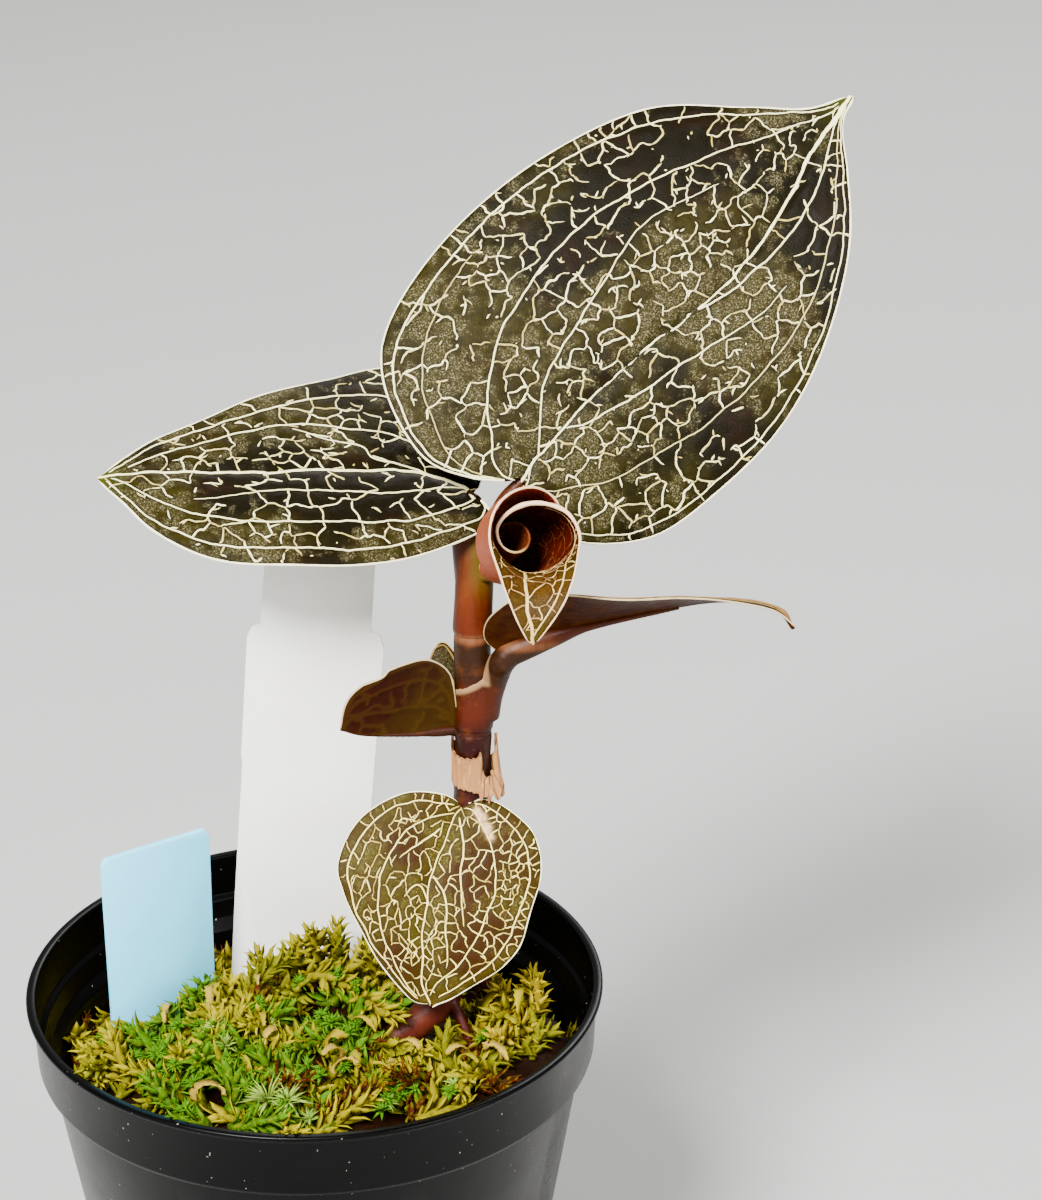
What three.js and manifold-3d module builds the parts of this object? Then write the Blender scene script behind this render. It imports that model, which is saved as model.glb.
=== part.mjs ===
// A jewel orchid in a small round plastic pot of sphagnum moss, with two bare
// plant labels. Millimetres, +Z up, origin at the centre of the pot's base.
import * as THREE from 'three';
import { mergeVertices } from 'three/addons/utils/BufferGeometryUtils.js';
import Module from 'manifold-3d';

const wasm = await Module();
wasm.setup();

// Driving dimensions
const POT_RIM_RADIUS = 37.5;
const POT_HEIGHT = 65;
const POT_BASE_RADIUS = 26;
const POT_WALL = 1.1;
const COLLAR_HEIGHT = 9.5;
const SLIT_COUNT = 8;
const SLIT_WIDTH = 3;
const GAP = 0.3;
const BLADE_THICKNESS = 0.7;
const YOUNG_THICKNESS = 0.6;
const STEM_CORE = 1.75;
const STEM_TOP_RADIUS = 0.85;
const SHEATH_OUTER = 3;
const SHEATH_CORE = 1.95;
const SHEATH_BORE = 2.1;
const LABEL_THICKNESS = 0.8;
const DRY_SHEATH_THICKNESS = 0.6;
const MOSS_RADIUS = 34.4;
const MOSS_STRANDS = 84;
const MOSS_SEED = 11;

// ---------------------------------------------------------------- helpers

const clamp = (value, low, high) => Math.min(Math.max(value, low), high);
const mix = (a, b, share) => a + (b - a) * share;
const radians = THREE.MathUtils.degToRad;
const vector = (p) => new THREE.Vector3(p[0], p[1], p[2]);

// A smooth line through evenly spaced rows of numbers, share from 0 to 1.
function through(rows, share) {
  const last = rows.length - 1;
  const place = clamp(share, 0, 1) * last;
  const i = Math.min(Math.floor(place), last - 1);
  const f = place - i;
  return rows[i].map((b, k) => {
    const c = rows[i + 1][k];
    const a = i > 0 ? rows[i - 1][k] : 2 * b - c;
    const d = i < last - 1 ? rows[i + 2][k] : 2 * c - b;
    const bend = (2 * a - 5 * b + 4 * c - d) * f * f + (3 * b - a - 3 * c + d) * f ** 3;
    return 0.5 * (2 * b + (c - a) * f + bend);
  });
}

// A smooth value from [place, value] pairs that never overshoots them.
function ramp(pairs, place) {
  const x = clamp(place, pairs[0][0], pairs[pairs.length - 1][0]);
  let i = 0;
  while (i < pairs.length - 2 && x >= pairs[i + 1][0]) i += 1;
  const rise = (k) => (pairs[k + 1][1] - pairs[k][1]) / (pairs[k + 1][0] - pairs[k][0]);
  const slope = (k) => {
    if (k === 0) return rise(0);
    if (k === pairs.length - 1) return rise(k - 1);
    const product = rise(k - 1) * rise(k);
    return product <= 0 ? 0 : (2 * product) / (rise(k - 1) + rise(k));
  };
  const h = pairs[i + 1][0] - pairs[i][0];
  const f = (x - pairs[i][0]) / h;
  const held = pairs[i][1] * (1 + 2 * f) * (1 - f) ** 2 + slope(i) * h * f * (1 - f) ** 2;
  return held + pairs[i + 1][1] * f * f * (3 - 2 * f) + slope(i + 1) * h * f * f * (f - 1);
}

// Repeatable random numbers from 0 to 1.
function seeded(seed) {
  let state = seed >>> 0;
  return () => {
    state = (state + 0x6d2b79f5) >>> 0;
    let t = Math.imul(state ^ (state >>> 15), 1 | state);
    t = (t + Math.imul(t ^ (t >>> 7), 61 | t)) ^ t;
    return ((t ^ (t >>> 14)) >>> 0) / 4294967296;
  };
}

// The line of a leaf or stem, cut into even steps, with its frame on the way.
class Axis {
  constructor(points, ups, steps = 240) {
    const fine = Array.from({ length: steps * 3 + 1 }, (_, i) => vector(through(points, i / (steps * 3))));
    const run = [0];
    for (let i = 1; i < fine.length; i += 1) run.push(run[i - 1] + fine[i].distanceTo(fine[i - 1]));
    this.length = run[run.length - 1];
    this.steps = steps;
    this.points = [];
    let k = 0;
    for (let i = 0; i <= steps; i += 1) {
      const target = (this.length * i) / steps;
      while (k < run.length - 2 && run[k + 1] < target) k += 1;
      const share = (target - run[k]) / (run[k + 1] - run[k]);
      this.points.push(fine[k].clone().lerp(fine[k + 1], share));
    }
    this.ups = ups;
  }

  // Point, direction, up and left at a distance along the line.
  at(distance) {
    const place = clamp(distance / this.length, 0, 1) * this.steps;
    const i = Math.min(Math.floor(place), this.steps - 1);
    const before = this.points[Math.max(i - 1, 0)];
    const after = this.points[Math.min(i + 2, this.steps)];
    const along = after.clone().sub(before).normalize();
    const over = distance - clamp(distance, 0, this.length);
    const point = this.points[i].clone().lerp(this.points[i + 1], place - i).addScaledVector(along, over);
    const up = vector(through(this.ups, place / this.steps));
    up.addScaledVector(along, -up.dot(along)).normalize();
    const left = up.clone().cross(along);
    return { point, along, up, left };
  }
}

// Vertices and triangles to a closed geometry whose faces point out.
function closedGeometry(positions, triangles) {
  let volume = 0;
  const p = (i) => vector([positions[3 * i], positions[3 * i + 1], positions[3 * i + 2]]);
  for (let i = 0; i < triangles.length; i += 3) {
    volume += p(triangles[i]).dot(p(triangles[i + 1]).cross(p(triangles[i + 2])));
  }
  const index = [...triangles];
  if (volume < 0) {
    for (let i = 0; i < index.length; i += 3) [index[i + 1], index[i + 2]] = [index[i + 2], index[i + 1]];
  }
  const geometry = new THREE.BufferGeometry();
  geometry.setAttribute('position', new THREE.Float32BufferAttribute(positions, 3));
  geometry.setIndex(index);
  return geometry;
}

function solid(geometry) {
  const bare = geometry.clone();
  bare.deleteAttribute('normal');
  bare.deleteAttribute('uv');
  const merged = mergeVertices(bare, 1e-4);
  const vertProperties = Float32Array.from(merged.attributes.position.array);
  const triVerts = Uint32Array.from(merged.index.array);
  return new wasm.Manifold(new wasm.Mesh({ numProp: 3, vertProperties, triVerts }));
}

function join(...solids) {
  return solids.reduce((whole, next) => whole.add(next));
}

// The largest body of a solid, so that no loose scrap stays.
function largest(body) {
  const pieces = body.decompose();
  return pieces.reduce((best, next) => (next.volume() > best.volume() ? next : best));
}

// A closed thin sheet round the surface point(u, t).
function sheet(point, uRange, tRange, uCount, tCount, thickness) {
  const step = 1e-3;
  const faces = [[], []];
  for (let i = 0; i <= uCount; i += 1) {
    for (let j = 0; j <= tCount; j += 1) {
      const u = mix(uRange[0], uRange[1], i / uCount);
      const t = mix(tRange[0], tRange[1], j / tCount);
      const du = point(u + step, t).sub(point(u - step, t));
      const dt = point(u, t + step).sub(point(u, t - step));
      const normal = du.cross(dt).normalize();
      const middle = point(u, t);
      faces[0].push(middle.clone().addScaledVector(normal, thickness / 2));
      faces[1].push(middle.clone().addScaledVector(normal, -thickness / 2));
    }
  }
  const positions = [...faces[0], ...faces[1]].flatMap((v) => v.toArray());
  const row = tCount + 1;
  const under = (uCount + 1) * row;
  const triangles = [];
  for (let i = 0; i < uCount; i += 1) {
    for (let j = 0; j < tCount; j += 1) {
      const a = i * row + j;
      const b = a + row;
      triangles.push(a, b, b + 1, a, b + 1, a + 1);
      triangles.push(under + a, under + b + 1, under + b, under + a, under + a + 1, under + b + 1);
    }
  }
  const wall = (a, b) => triangles.push(b, a, under + a, b, under + a, under + b);
  for (let i = 0; i < uCount; i += 1) {
    wall(i * row, (i + 1) * row);
    wall((i + 1) * row + tCount, i * row + tCount);
  }
  for (let j = 0; j < tCount; j += 1) {
    wall(j + 1, j);
    wall(uCount * row + j, uCount * row + j + 1);
  }
  return closedGeometry(positions, triangles);
}

// A closed tube along points, with a radius at each share of the way.
function tube(points, radii, steps, sides, roll = 0) {
  const rise = Math.abs(points[points.length - 1][2] - points[0][2]);
  const steep = rise > 0.6 * vector(points[0]).distanceTo(vector(points[points.length - 1]));
  const up = steep ? [0.3, -0.95, 0] : [0.13, 0.31, 0.94];
  const axis = new Axis(points, [up, up]);
  const positions = [];
  for (let i = 0; i <= steps; i += 1) {
    const { point, up, left } = axis.at((axis.length * i) / steps);
    const radius = ramp(radii, i / steps);
    for (let k = 0; k < sides; k += 1) {
      const angle = roll + (2 * Math.PI * k) / sides;
      const out = up.clone().multiplyScalar(Math.cos(angle)).addScaledVector(left, Math.sin(angle));
      positions.push(...point.clone().addScaledVector(out, radius).toArray());
    }
  }
  const triangles = [];
  for (let i = 0; i < steps; i += 1) {
    for (let k = 0; k < sides; k += 1) {
      const a = i * sides + k;
      const b = i * sides + ((k + 1) % sides);
      triangles.push(a, b, b + sides, a, b + sides, a + sides);
    }
  }
  for (let k = 1; k < sides - 1; k += 1) {
    const end = steps * sides;
    triangles.push(0, k + 1, k, end, end + k, end + k + 1);
  }
  return solid(closedGeometry(positions, triangles));
}

// ---------------------------------------------------------------- stem

const STEM_PATH = [
  [4, -9.5, 52], [9, -9.5, 59.8], [13.6, -8.8, 63.4], [17.2, -7.6, 67.5], [19.1, -4.4, 77],
  [20.3, -0.2, 90], [20.8, 1.5, 100.5], [20.7, 2.3, 112.2], [21, 3.1, 122],
];
const stemAxis = new Axis(STEM_PATH, [[0, -1, 0.2], [0, -1, 0.1], [0, -1, 0], [0, -1, 0]]);

// Distance along the stem where it reaches a height.
function stemPlace(height) {
  let best = 0;
  for (let i = 0; i <= 600; i += 1) {
    const distance = (stemAxis.length * i) / 600;
    const near = Math.abs(stemAxis.at(distance).point.z - height);
    if (near < Math.abs(stemAxis.at(best).point.z - height)) best = distance;
  }
  return best;
}

// A solid along the stem from one height to another. Its ends lean by a
// given number of millimetres towards a side angle (0 = front, 90 = right).
function stemSleeve(radius, low, high, sides, steps, lean = [0, 0, 0, 0], roll = 0) {
  const from = stemPlace(low);
  const to = stemPlace(high);
  const wave = (angle, k) => lean[k] * Math.cos(angle - radians(lean[k + 1]));
  const positions = [];
  for (let i = 0; i <= steps; i += 1) {
    for (let k = 0; k < sides; k += 1) {
      const angle = roll + (2 * Math.PI * k) / sides;
      const share = i / steps;
      const distance = mix(from + wave(angle, 0), to + wave(angle, 2), share);
      const { point, up, left } = stemAxis.at(distance);
      const width = typeof radius === 'function' ? radius(share) : radius;
      const out = up.clone().multiplyScalar(Math.cos(angle)).addScaledVector(left, -Math.sin(angle));
      positions.push(...point.addScaledVector(out, width).toArray());
    }
  }
  const triangles = [];
  for (let i = 0; i < steps; i += 1) {
    for (let k = 0; k < sides; k += 1) {
      const a = i * sides + k;
      const b = i * sides + ((k + 1) % sides);
      triangles.push(a, b, b + sides, a, b + sides, a + sides);
    }
  }
  const end = steps * sides;
  for (let k = 1; k < sides - 1; k += 1) triangles.push(0, k + 1, k, end, end + k, end + k + 1);
  return solid(closedGeometry(positions, triangles));
}

// The same turned by half a side, so that its edges don't meet those of a
// sleeve that it is cut from or joined to.
const turnedSleeve = (radius, low, high, steps) => stemSleeve(
  radius, low, high, 12, steps, [0, 0, 0, 0], Math.PI / 12,
);

const STEM_TOP_WIDTH = 2.4;
const STEM_WIDTHS = [
  [53, 2.2], [58, 2.9], [67, 2.9], [74, 2.45], [82.4, 2.4], [83, STEM_CORE],
];
const NODE_HEIGHTS = [77.5, 112];
const STEM_FOOT = 53;
const STEM_SHOULDER = 82.7;
const stemWidth = (share) => ramp(STEM_WIDTHS, mix(STEM_FOOT, STEM_SHOULDER, share));
const stemBody = join(
  stemSleeve(stemWidth, STEM_FOOT, STEM_SHOULDER, 12, 11),
  turnedSleeve(STEM_CORE, 81, 109, 4),
  stemSleeve(STEM_TOP_WIDTH, 108, 112.7, 12, 2),
);
const stemTip = turnedSleeve(STEM_TOP_RADIUS, 110, 116.5, 2);
const stemNode = (height) => turnedSleeve(
  (share) => 2.8 - 0.5 * Math.abs(2 * share - 1) ** 2, height - 0.7, height + 0.7, 2,
);
const ROOTS = [
  [[[17, -8, 68], [19.2, -10.5, 64.8], [20.8, -12.6, 61], [22, -14, 56]], 0.75],
  [[[12, -9, 62], [10, -13, 60.5], [8, -17, 58], [7, -20, 53]], 0.7],
  [[[18.5, -6, 73], [21, -6, 69.5], [22.5, -4.5, 64], [23.5, -3.5, 57]], 0.7],
];
const rootTube = ([points, radius], extra) => {
  const tip = vector(points[3]);
  tip.addScaledVector(tip.clone().sub(vector(points[2])).normalize(), 1.5 * extra);
  return tube(
    [...points.slice(0, 3), tip.toArray()],
    [[0, radius + extra], [0.6, radius * 0.85 + extra], [1, radius * 0.5 + extra]], 5, 6,
  );
};
const stem = join(
  stemBody, stemTip, ...NODE_HEIGHTS.map(stemNode), ...ROOTS.map((root) => rootTube(root, 0)),
);

// ---------------------------------------------------------------- leaves

// A leaf blade. Each row holds the midrib, the left margin and the right
// margin as (along, across) in the flat leaf; fold and curl then bend each
// half up from the midrib, from the base to the tip.
class Blade {
  constructor({ axis, ups, rows, fold, curl, wave = [0, 0, 0] }) {
    this.axis = new Axis(axis, ups);
    const scale = this.axis.length / rows[rows.length - 1][0];
    this.rows = rows.map((row) => row.map((value, k) => (k % 2 === 0 ? value * scale : value)));
    this.fold = fold.map(radians);
    this.curl = curl.map(radians);
    this.wave = wave;
    this.point = this.point.bind(this);
  }

  point(u, t) {
    const row = through(this.rows, u);
    const share = Math.abs(t);
    const edge = t > 0 ? 2 : 4;
    const along = mix(row[0], row[edge], share);
    const across = share * Math.abs(row[edge + 1] - row[1]);
    const side = t > 0 ? 1 : -1;
    const place = clamp(along / this.axis.length, 0, 1);
    const half = t > 0 ? 0 : 2;
    const fold = mix(this.fold[half], this.fold[half + 1], place);
    const curl = mix(this.curl[half], this.curl[half + 1], place);
    const reach = (Math.sin(fold) - Math.sin(fold - curl * across)) / curl;
    const ripple = this.wave[0] * share ** 3 * Math.sin(this.wave[1] * u + this.wave[2] * side);
    const lift = (Math.cos(fold - curl * across) - Math.cos(fold)) / curl + ripple;
    const { point, up, left } = this.axis.at(along);
    return point.addScaledVector(left, row[1] + side * reach).addScaledVector(up, lift);
  }

  body(uCount, tCount, tRange = [-1, 1]) {
    return solid(sheet(this.point, [0.035, 0.992], tRange, uCount, tCount, BLADE_THICKNESS));
  }

  // The raised midrib, which goes on from the leaf's stalk.
  rib(stalk, radius, reach) {
    const points = [0.02, reach * 0.3, reach * 0.65, reach].map((u) => {
      const place = this.point(u, 0);
      const { up } = this.axis.at(u * this.axis.length);
      return place.addScaledVector(up, -radius * 0.55 * (1 - u)).toArray();
    });
    const line = [...stalk, ...points];
    const turn = stalk.length / (line.length - 1);
    return tube(line, [[0, radius], [turn, radius * 0.9], [1, radius * 0.42]], 8, 6);
  }
}

const bigBlade = new Blade({
  axis: [[26.7, 3, 133.1], [48.6, 16, 151.9], [68.6, 33, 173.8]],
  ups: [[-0.05, -0.84, 0.54], [-0.1, -0.8, 0.58]],
  rows: [
    [0, 0, 0, 0, 0, 0], [2.5, 0.5, -4, 5, -1.5, -6.5], [5.5, 0.5, -6, 11.5, 1, -11.5],
    [13, 1, -2.5, 21, 8, -16.5], [23, 0.5, 5, 26.5, 17, -18], [33, -1, 19, 29, 27, -18],
    [42, -1.5, 35.5, 27, 37.5, -15.5], [50, -1, 49.5, 20.5, 48.5, -11], [57.5, -0, 57, 10, 56.5, -5.5],
    [62, 0, 61, 3.5, 61.5, -1.5], [66, 0, 66, 0, 66, 0],
  ],
  fold: [10, 6, -14, 8],
  curl: [0.6, 0.5, 0.6, 0.5],
  wave: [0.35, 21, 1.2],
});
const leftBlade = new Blade({
  axis: [[21, 6, 129.8], [-0.2, 2, 134.6], [-24.3, -3, 136.1]],
  ups: [[-0.1, -0.44, 0.9], [0.1, -0.42, 0.91]],
  rows: [
    [0, 0, 0, 0, 0, 0], [1, -1.5, -2, 2, -1.5, -6], [3.5, -2.5, -1, 4.5, 1, -9.5],
    [8, -3, 3, 7.5, 5, -15.5], [13.5, -2, 9.5, 10.5, 10.5, -20], [19.5, -1, 18.5, 13, 18, -17],
    [25.5, 0, 27.5, 13.5, 25, -13.5], [31.5, 0, 35, 12, 31.5, -10], [38, -0.5, 41, 8.5, 38.5, -6.5],
    [43, -0.5, 44.5, 3.5, 43, -3], [47, 0, 47, 0, 47, 0],
  ],
  fold: [2, 2, 6, 2],
  curl: [1.8, 1.6, 0.6, 0.5],
  wave: [0.3, 24, 1],
});
const roundBlade = new Blade({
  axis: [[19.5, -2, 91.1], [15.4, -9.5, 81], [15.5, -15, 69.8]],
  ups: [[0, -0.85, 0.5], [0, -0.75, 0.4]],
  rows: [
    [0, 0, 0, 0, 0, 0], [1, -0.5, -1.5, 2, -0.5, -3], [3, -0.5, -1.5, 5, 1, -7.5],
    [6.5, -0.5, 0.5, 9.5, 6, -11.5], [10.5, -0.5, 4, 12, 11, -12.5], [14, 0, 8.5, 12.5, 13.5, -11],
    [17.5, -0.5, 17.5, 12, 16.5, -8.5], [20.5, -0.5, 21.5, 9.5, 20.5, -6], [23, -1, 24, 5, 24, -3.5],
    [24.5, -0.5, 25.5, 2, 25.5, -2], [26, 0, 26, 0, 26, 0],
  ],
  fold: [6, 4, 8, 4],
  curl: [1, 0.8, 1.2, 1],
  wave: [0.2, 20, 1],
});
const rightBlade = new Blade({
  axis: [
    [24.1, 0, 111.6], [31.6, -0.5, 114.8], [42.7, -2, 118.1], [51.1, -4, 120.4], [57.5, -7, 120.9],
    [59.8, -9, 118.8],
  ],
  ups: [
    [-0.15, 0.4, 0.9], [-0.12, 0.4, 0.92], [0, 0.38, 0.92], [0.12, 0.37, 0.92], [0.3, 0.3, 0.9],
    [0.6, 0.3, 0.7],
  ],
  rows: [
    [0, 0, 0, 0, 0, 0], [1, 0, -0.5, 3.5, 0.3, -4], [3, 0, 0.5, 8, 1.2, -8], [7, 0, 4, 11, 4, -10.5],
    [12, 0, 9, 12, 8.5, -12], [18, 0, 16.5, 12, 16, -12], [24, 0, 24, 10.5, 23.5, -10.5],
    [30, 0, 30.5, 7.5, 30, -7.5], [35, 0, 35.5, 4, 35, -4], [38.5, 0, 39, 1.5, 38.5, -1.5],
    [40.5, 0, 40.5, 0, 40.5, 0],
  ],
  fold: [24, -6, 38, -12],
  curl: [0.6, 0.6, 0.8, 0.8],
  wave: [0.25, 22, 1],
});
const foldBlade = new Blade({
  axis: [[18.7, 1, 100.6], [12.3, -2, 101], [7.1, -5, 102.9], [4.8, -6, 105.5]],
  ups: [[0, 0, 1], [0, 0, 1], [-0.3, 0, 0.9]],
  rows: [
    [0, 0, 0, 0, 0, 0], [0.8, 0, 0.5, 3, -1, -4], [2, 0, 2, 7.5, -1.5, -9], [4.5, 0, 4.6, 11, 1, -12],
    [7.5, 0, 8.2, 11.6, 5, -10], [11, 0, 11.2, 10.5, 9.5, -7.8], [13.5, 0, 13.5, 8.2, 12.7, -5.6],
    [15.3, 0, 15.3, 5, 15, -3.4], [16.3, 0, 16.2, 1.5, 16.2, -1.5], [17, 0, 17, 0, 17, 0],
  ],
  fold: [88, 60, 76, 50],
  curl: [0.5, 0.8, 0.8, 1],
});

// The young leaf is rolled round its length: the inner half turns in a
// spiral from one side, the outer half wraps over it from the other.
class RolledBlade {
  constructor({ axis, ups, radius, innerTurn, outerTurn, innerRadius, innerShift, outerRadius }) {
    this.axis = new Axis(axis, ups);
    Object.assign(this, { radius, innerTurn, outerTurn, innerRadius, innerShift, outerRadius });
    this.point = this.point.bind(this);
  }

  point(u, t) {
    const width = ramp(this.radius, u);
    const inner = t > 0;
    const turn = Math.abs(t) * ramp(inner ? this.innerTurn : this.outerTurn, u);
    const reach = width * ramp(inner ? this.innerRadius : this.outerRadius, turn);
    const shift = inner ? width * ramp(this.innerShift, turn) : 0;
    const angle = radians(turn);
    const { point, up, left } = this.axis.at(u * this.axis.length);
    const lift = width - reach * Math.cos(angle);
    const side = (inner ? 1 : -1) * reach * Math.sin(angle) - shift;
    return point.addScaledVector(up, lift).addScaledVector(left, side);
  }
}

const rolledBlade = new RolledBlade({
  axis: [
    [22.8, 2, 120.8], [25.7, -3, 121.6], [27.9, -10, 125.2], [28.4, -15, 128],
    [28.4, -18.5, 128.2], [28.2, -20.5, 125.5], [28.1, -21, 122.1],
  ],
  ups: [
    [0, 0.1, 1], [0, 0.2, 1], [0, 0.35, 0.92], [0, 0.3, 0.92], [0, -0.75, 0.6], [0, -0.9, 0.3],
  ],
  radius: [[0, 1.2], [0.12, 2.7], [0.28, 4.9], [0.42, 5.2], [0.6, 5.3], [0.8, 7.3], [1, 10]],
  innerTurn: [
    [0, 60], [0.08, 150], [0.2, 320], [0.32, 445], [0.43, 450], [0.48, 340], [0.53, 220], [0.59, 120],
    [0.66, 66], [0.8, 32], [0.92, 12], [1, 1],
  ],
  outerTurn: [
    [0, 60], [0.08, 150], [0.2, 235], [0.35, 240], [0.46, 238], [0.53, 190], [0.6, 110], [0.68, 56],
    [0.8, 28], [0.92, 10], [1, 1],
  ],
  innerRadius: [
    [0, 1], [40, 1.02], [75, 1.04], [110, 0.9], [150, 0.68], [190, 0.58], [250, 0.44], [360, 0.4], [460, 0.36],
  ],
  innerShift: [[0, 0], [110, 0], [190, 0.12], [270, 0.32], [460, 0.34]],
  outerRadius: [[0, 1], [45, 1], [90, 1], [135, 1.02], [180, 1.03], [215, 0.99], [240, 0.92]],
});

const rolledBody = solid(sheet(rolledBlade.point, [0, 0.985], [-1, 1], 15, 30, YOUNG_THICKNESS));
const rolledStalk = tube(
  [[20.8, 2.8, 117.1], [20.9, 2.5, 119.2], [22.2, 1.5, 121.3], [24.2, -0.4, 122.4]],
  [[0, 0.65], [0.4, 0.7], [1, 1]], 7, 8,
);
const leafRolled = join(rolledBody, rolledStalk);

// The space that the young leaf's foot takes among the older leaves' stalks.
const rolledRoom = tube(
  [[20.8, 2.8, 116.6], [20.9, 2.5, 119.2], [22.6, 1.7, 121.3], [24.8, -1.2, 123.6]],
  [[0, 1.05], [0.3, 1.05], [0.6, 2.5], [1, 4]], 7, 8,
);

// The space of the large leaf's stalk, kept clear by the leaf beside it.
const BIG_STALK = [[20.9, 3.9, 117.2], [21.2, 4.3, 121.5], [22.6, 4.3, 126], [24.7, 3.9, 130.2]];
const bigRoom = tube(BIG_STALK, [[0, 1.1], [1, 1.15]], 6, 8);

// Each leaf's stalk widens into a sheath that wraps the stem below it.
const RIGHT_SHEATH = 2.95;
const leafLeft = join(
  leftBlade.body(15, 12),
  leftBlade.rib([[19, 4.6, 119], [18.5, 5.6, 123.5], [18.9, 6.6, 127], [20.2, 6.7, 129]], 1.1, 0.45),
  stemSleeve(SHEATH_OUTER, 113.1, 122, 12, 3, [0, 0, 3, 300]),
).subtract(join(turnedSleeve(SHEATH_CORE + 0.4, 105, 127, 2), rolledRoom, bigRoom));
const leafBig = join(
  bigBlade.body(18, 14),
  bigBlade.rib(BIG_STALK, 0.75, 0.45),
  stemSleeve(SHEATH_CORE, 113.2, 119, 10, 1, [0, 0, 0.6, 200]),
).subtract(join(turnedSleeve(STEM_TOP_RADIUS + 0.45, 105, 119.4, 2), rolledRoom));
const leafRight = join(
  rightBlade.body(14, 10),
  rightBlade.rib([[22.4, 1.7, 102], [23, 1.3, 105.3], [24, 0.4, 108.9]], 1.75, 0.6),
  stemSleeve(RIGHT_SHEATH, 100.5, 107.2, 12, 2, [0, 0, 1.1, 90]),
).subtract(join(
  turnedSleeve(SHEATH_BORE, 95, 110, 2),
  stemSleeve(STEM_TOP_WIDTH + GAP, 107.6, 114, 12, 2),
));
// The folded leaf's halves stand side by side, so each is a solid of its own.
const leafFold = join(
  foldBlade.body(11, 4, [0.02, 1]),
  foldBlade.body(11, 4, [-1, -0.02]),
  foldBlade.rib([[18.9, 1.5, 97.5], [18.6, 1.2, 99.2]], 0.9, 0.95),
  stemSleeve(2.75, 92, 101.5, 12, 2),
).subtract(join(
  turnedSleeve(SHEATH_BORE, 88, 105, 2),
  stemSleeve(RIGHT_SHEATH + GAP, 100.2, 118, 12, 3),
));
const leafRound = join(
  roundBlade.body(14, 10),
  roundBlade.rib([[20.2, -1.9, 86], [19.9, -2.6, 89]], 1.05, 0.6),
  stemSleeve(2.8, 83.3, 91.3, 12, 2, [0, 0, 0.5, 0]),
).subtract(turnedSleeve(SHEATH_BORE, 80, 95, 2));

// The dry sheath is a torn paper sleeve, open down one side, that flares at
// its ragged lower edge. It stands between the heights 90 and 102.
const DRY_FROM = stemPlace(90);
const DRY_TO = stemPlace(102);
function drySheathPoint(u, t) {
  const angle = radians(mix(-168, 160, t));
  const ragged = 1.1 * Math.sin(5 * angle + 0.6) + 0.7 * Math.sin(11 * angle);
  const rightSide = Math.max(Math.cos(angle - radians(70)), 0) ** 3;
  const low = 92.9 + 0.7 * ragged + 0.9 * rightSide;
  const leftSide = Math.max(Math.cos(angle - radians(-95)), 0) ** 6;
  const high = 96.3 + 0.4 * Math.sin(7 * angle) + 1.4 * leftSide;
  const { point, up, left } = stemAxis.at(mix(DRY_FROM, DRY_TO, (mix(low, high, u) - 90) / 12));
  const width = 3.5 + 1.1 * rightSide * (1 - u) ** 2 + 0.12 * Math.sin(9 * angle);
  const out = up.multiplyScalar(Math.cos(angle)).addScaledVector(left, -Math.sin(angle));
  return point.addScaledVector(out, width);
}
const drySheath = solid(sheet(drySheathPoint, [0, 1], [0, 1], 4, 22, DRY_SHEATH_THICKNESS));

// ---------------------------------------------------------------- labels

function labelSolid({ outline, centre, turn, lean }, extra = 0) {
  const grown = outline.map(([x, y]) => [x + Math.sign(x) * extra, y + Math.sign(y) * extra]);
  const shape = new THREE.Shape(grown.map(([x, y]) => new THREE.Vector2(x, y)));
  const depth = LABEL_THICKNESS + 2 * extra;
  const geometry = new THREE.ExtrudeGeometry(shape, { depth, bevelEnabled: false });
  geometry.translate(0, 0, -depth / 2);
  geometry.rotateX(Math.PI / 2);
  geometry.rotateY(radians(lean));
  geometry.rotateZ(radians(turn));
  geometry.translate(...centre);
  return solid(geometry);
}

const WHITE_LABEL = {
  outline: [
    [1.2, -38], [8.4, -27], [8.5, -5], [8.55, 20], [8.4, 21], [8.6, 22], [8.8, 47.8], [8.2, 49.4],
    [7, 49.9], [6.9, 61.2], [5.9, 62.6], [-5.9, 62.6], [-6.9, 61.2], [-7.1, 49.9], [-8.2, 49.4],
    [-8.7, 48], [-8.7, 31], [-8.5, 30.2], [-8.6, 10], [-8.4, -27], [-1.2, -38],
  ],
  centre: [-3.3, 8.4, 61.5],
  turn: 0,
  lean: 4.7,
};
const BLUE_LABEL = {
  outline: [
    [1, -27], [7.4, -19], [7.7, 22.4], [7, 23.5], [-7.2, 23.5], [-7.8, 22.6], [-7.5, -19], [-1, -27],
  ],
  centre: [-19.9, -1.1, 61.8],
  turn: 35,
  lean: 0,
};

// ---------------------------------------------------------------- pot

const potProfile = [
  [0, 0], [POT_BASE_RADIUS - 0.8, 0], [POT_BASE_RADIUS, 0.8], [34.9, 55], [36.3, 55.9],
  [POT_RIM_RADIUS - 0.6, 64], [POT_RIM_RADIUS, 64.3], [POT_RIM_RADIUS, POT_HEIGHT],
  [POT_RIM_RADIUS - 1.2, POT_HEIGHT], [36.1, POT_HEIGHT - 6], [35.4, POT_HEIGHT - 6.4],
  [35.1, POT_HEIGHT - COLLAR_HEIGHT + 0.3], [33.8, POT_HEIGHT - COLLAR_HEIGHT - 0.9],
  [POT_BASE_RADIUS - POT_WALL, 1.4], [0, 1.4],
];
const lathe = (profile, sides) => {
  const points = profile.map(([r, z]) => new THREE.Vector2(r, z));
  return solid(new THREE.LatheGeometry(points, sides).rotateX(Math.PI / 2));
};
let pot = lathe(potProfile, 48);
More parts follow.
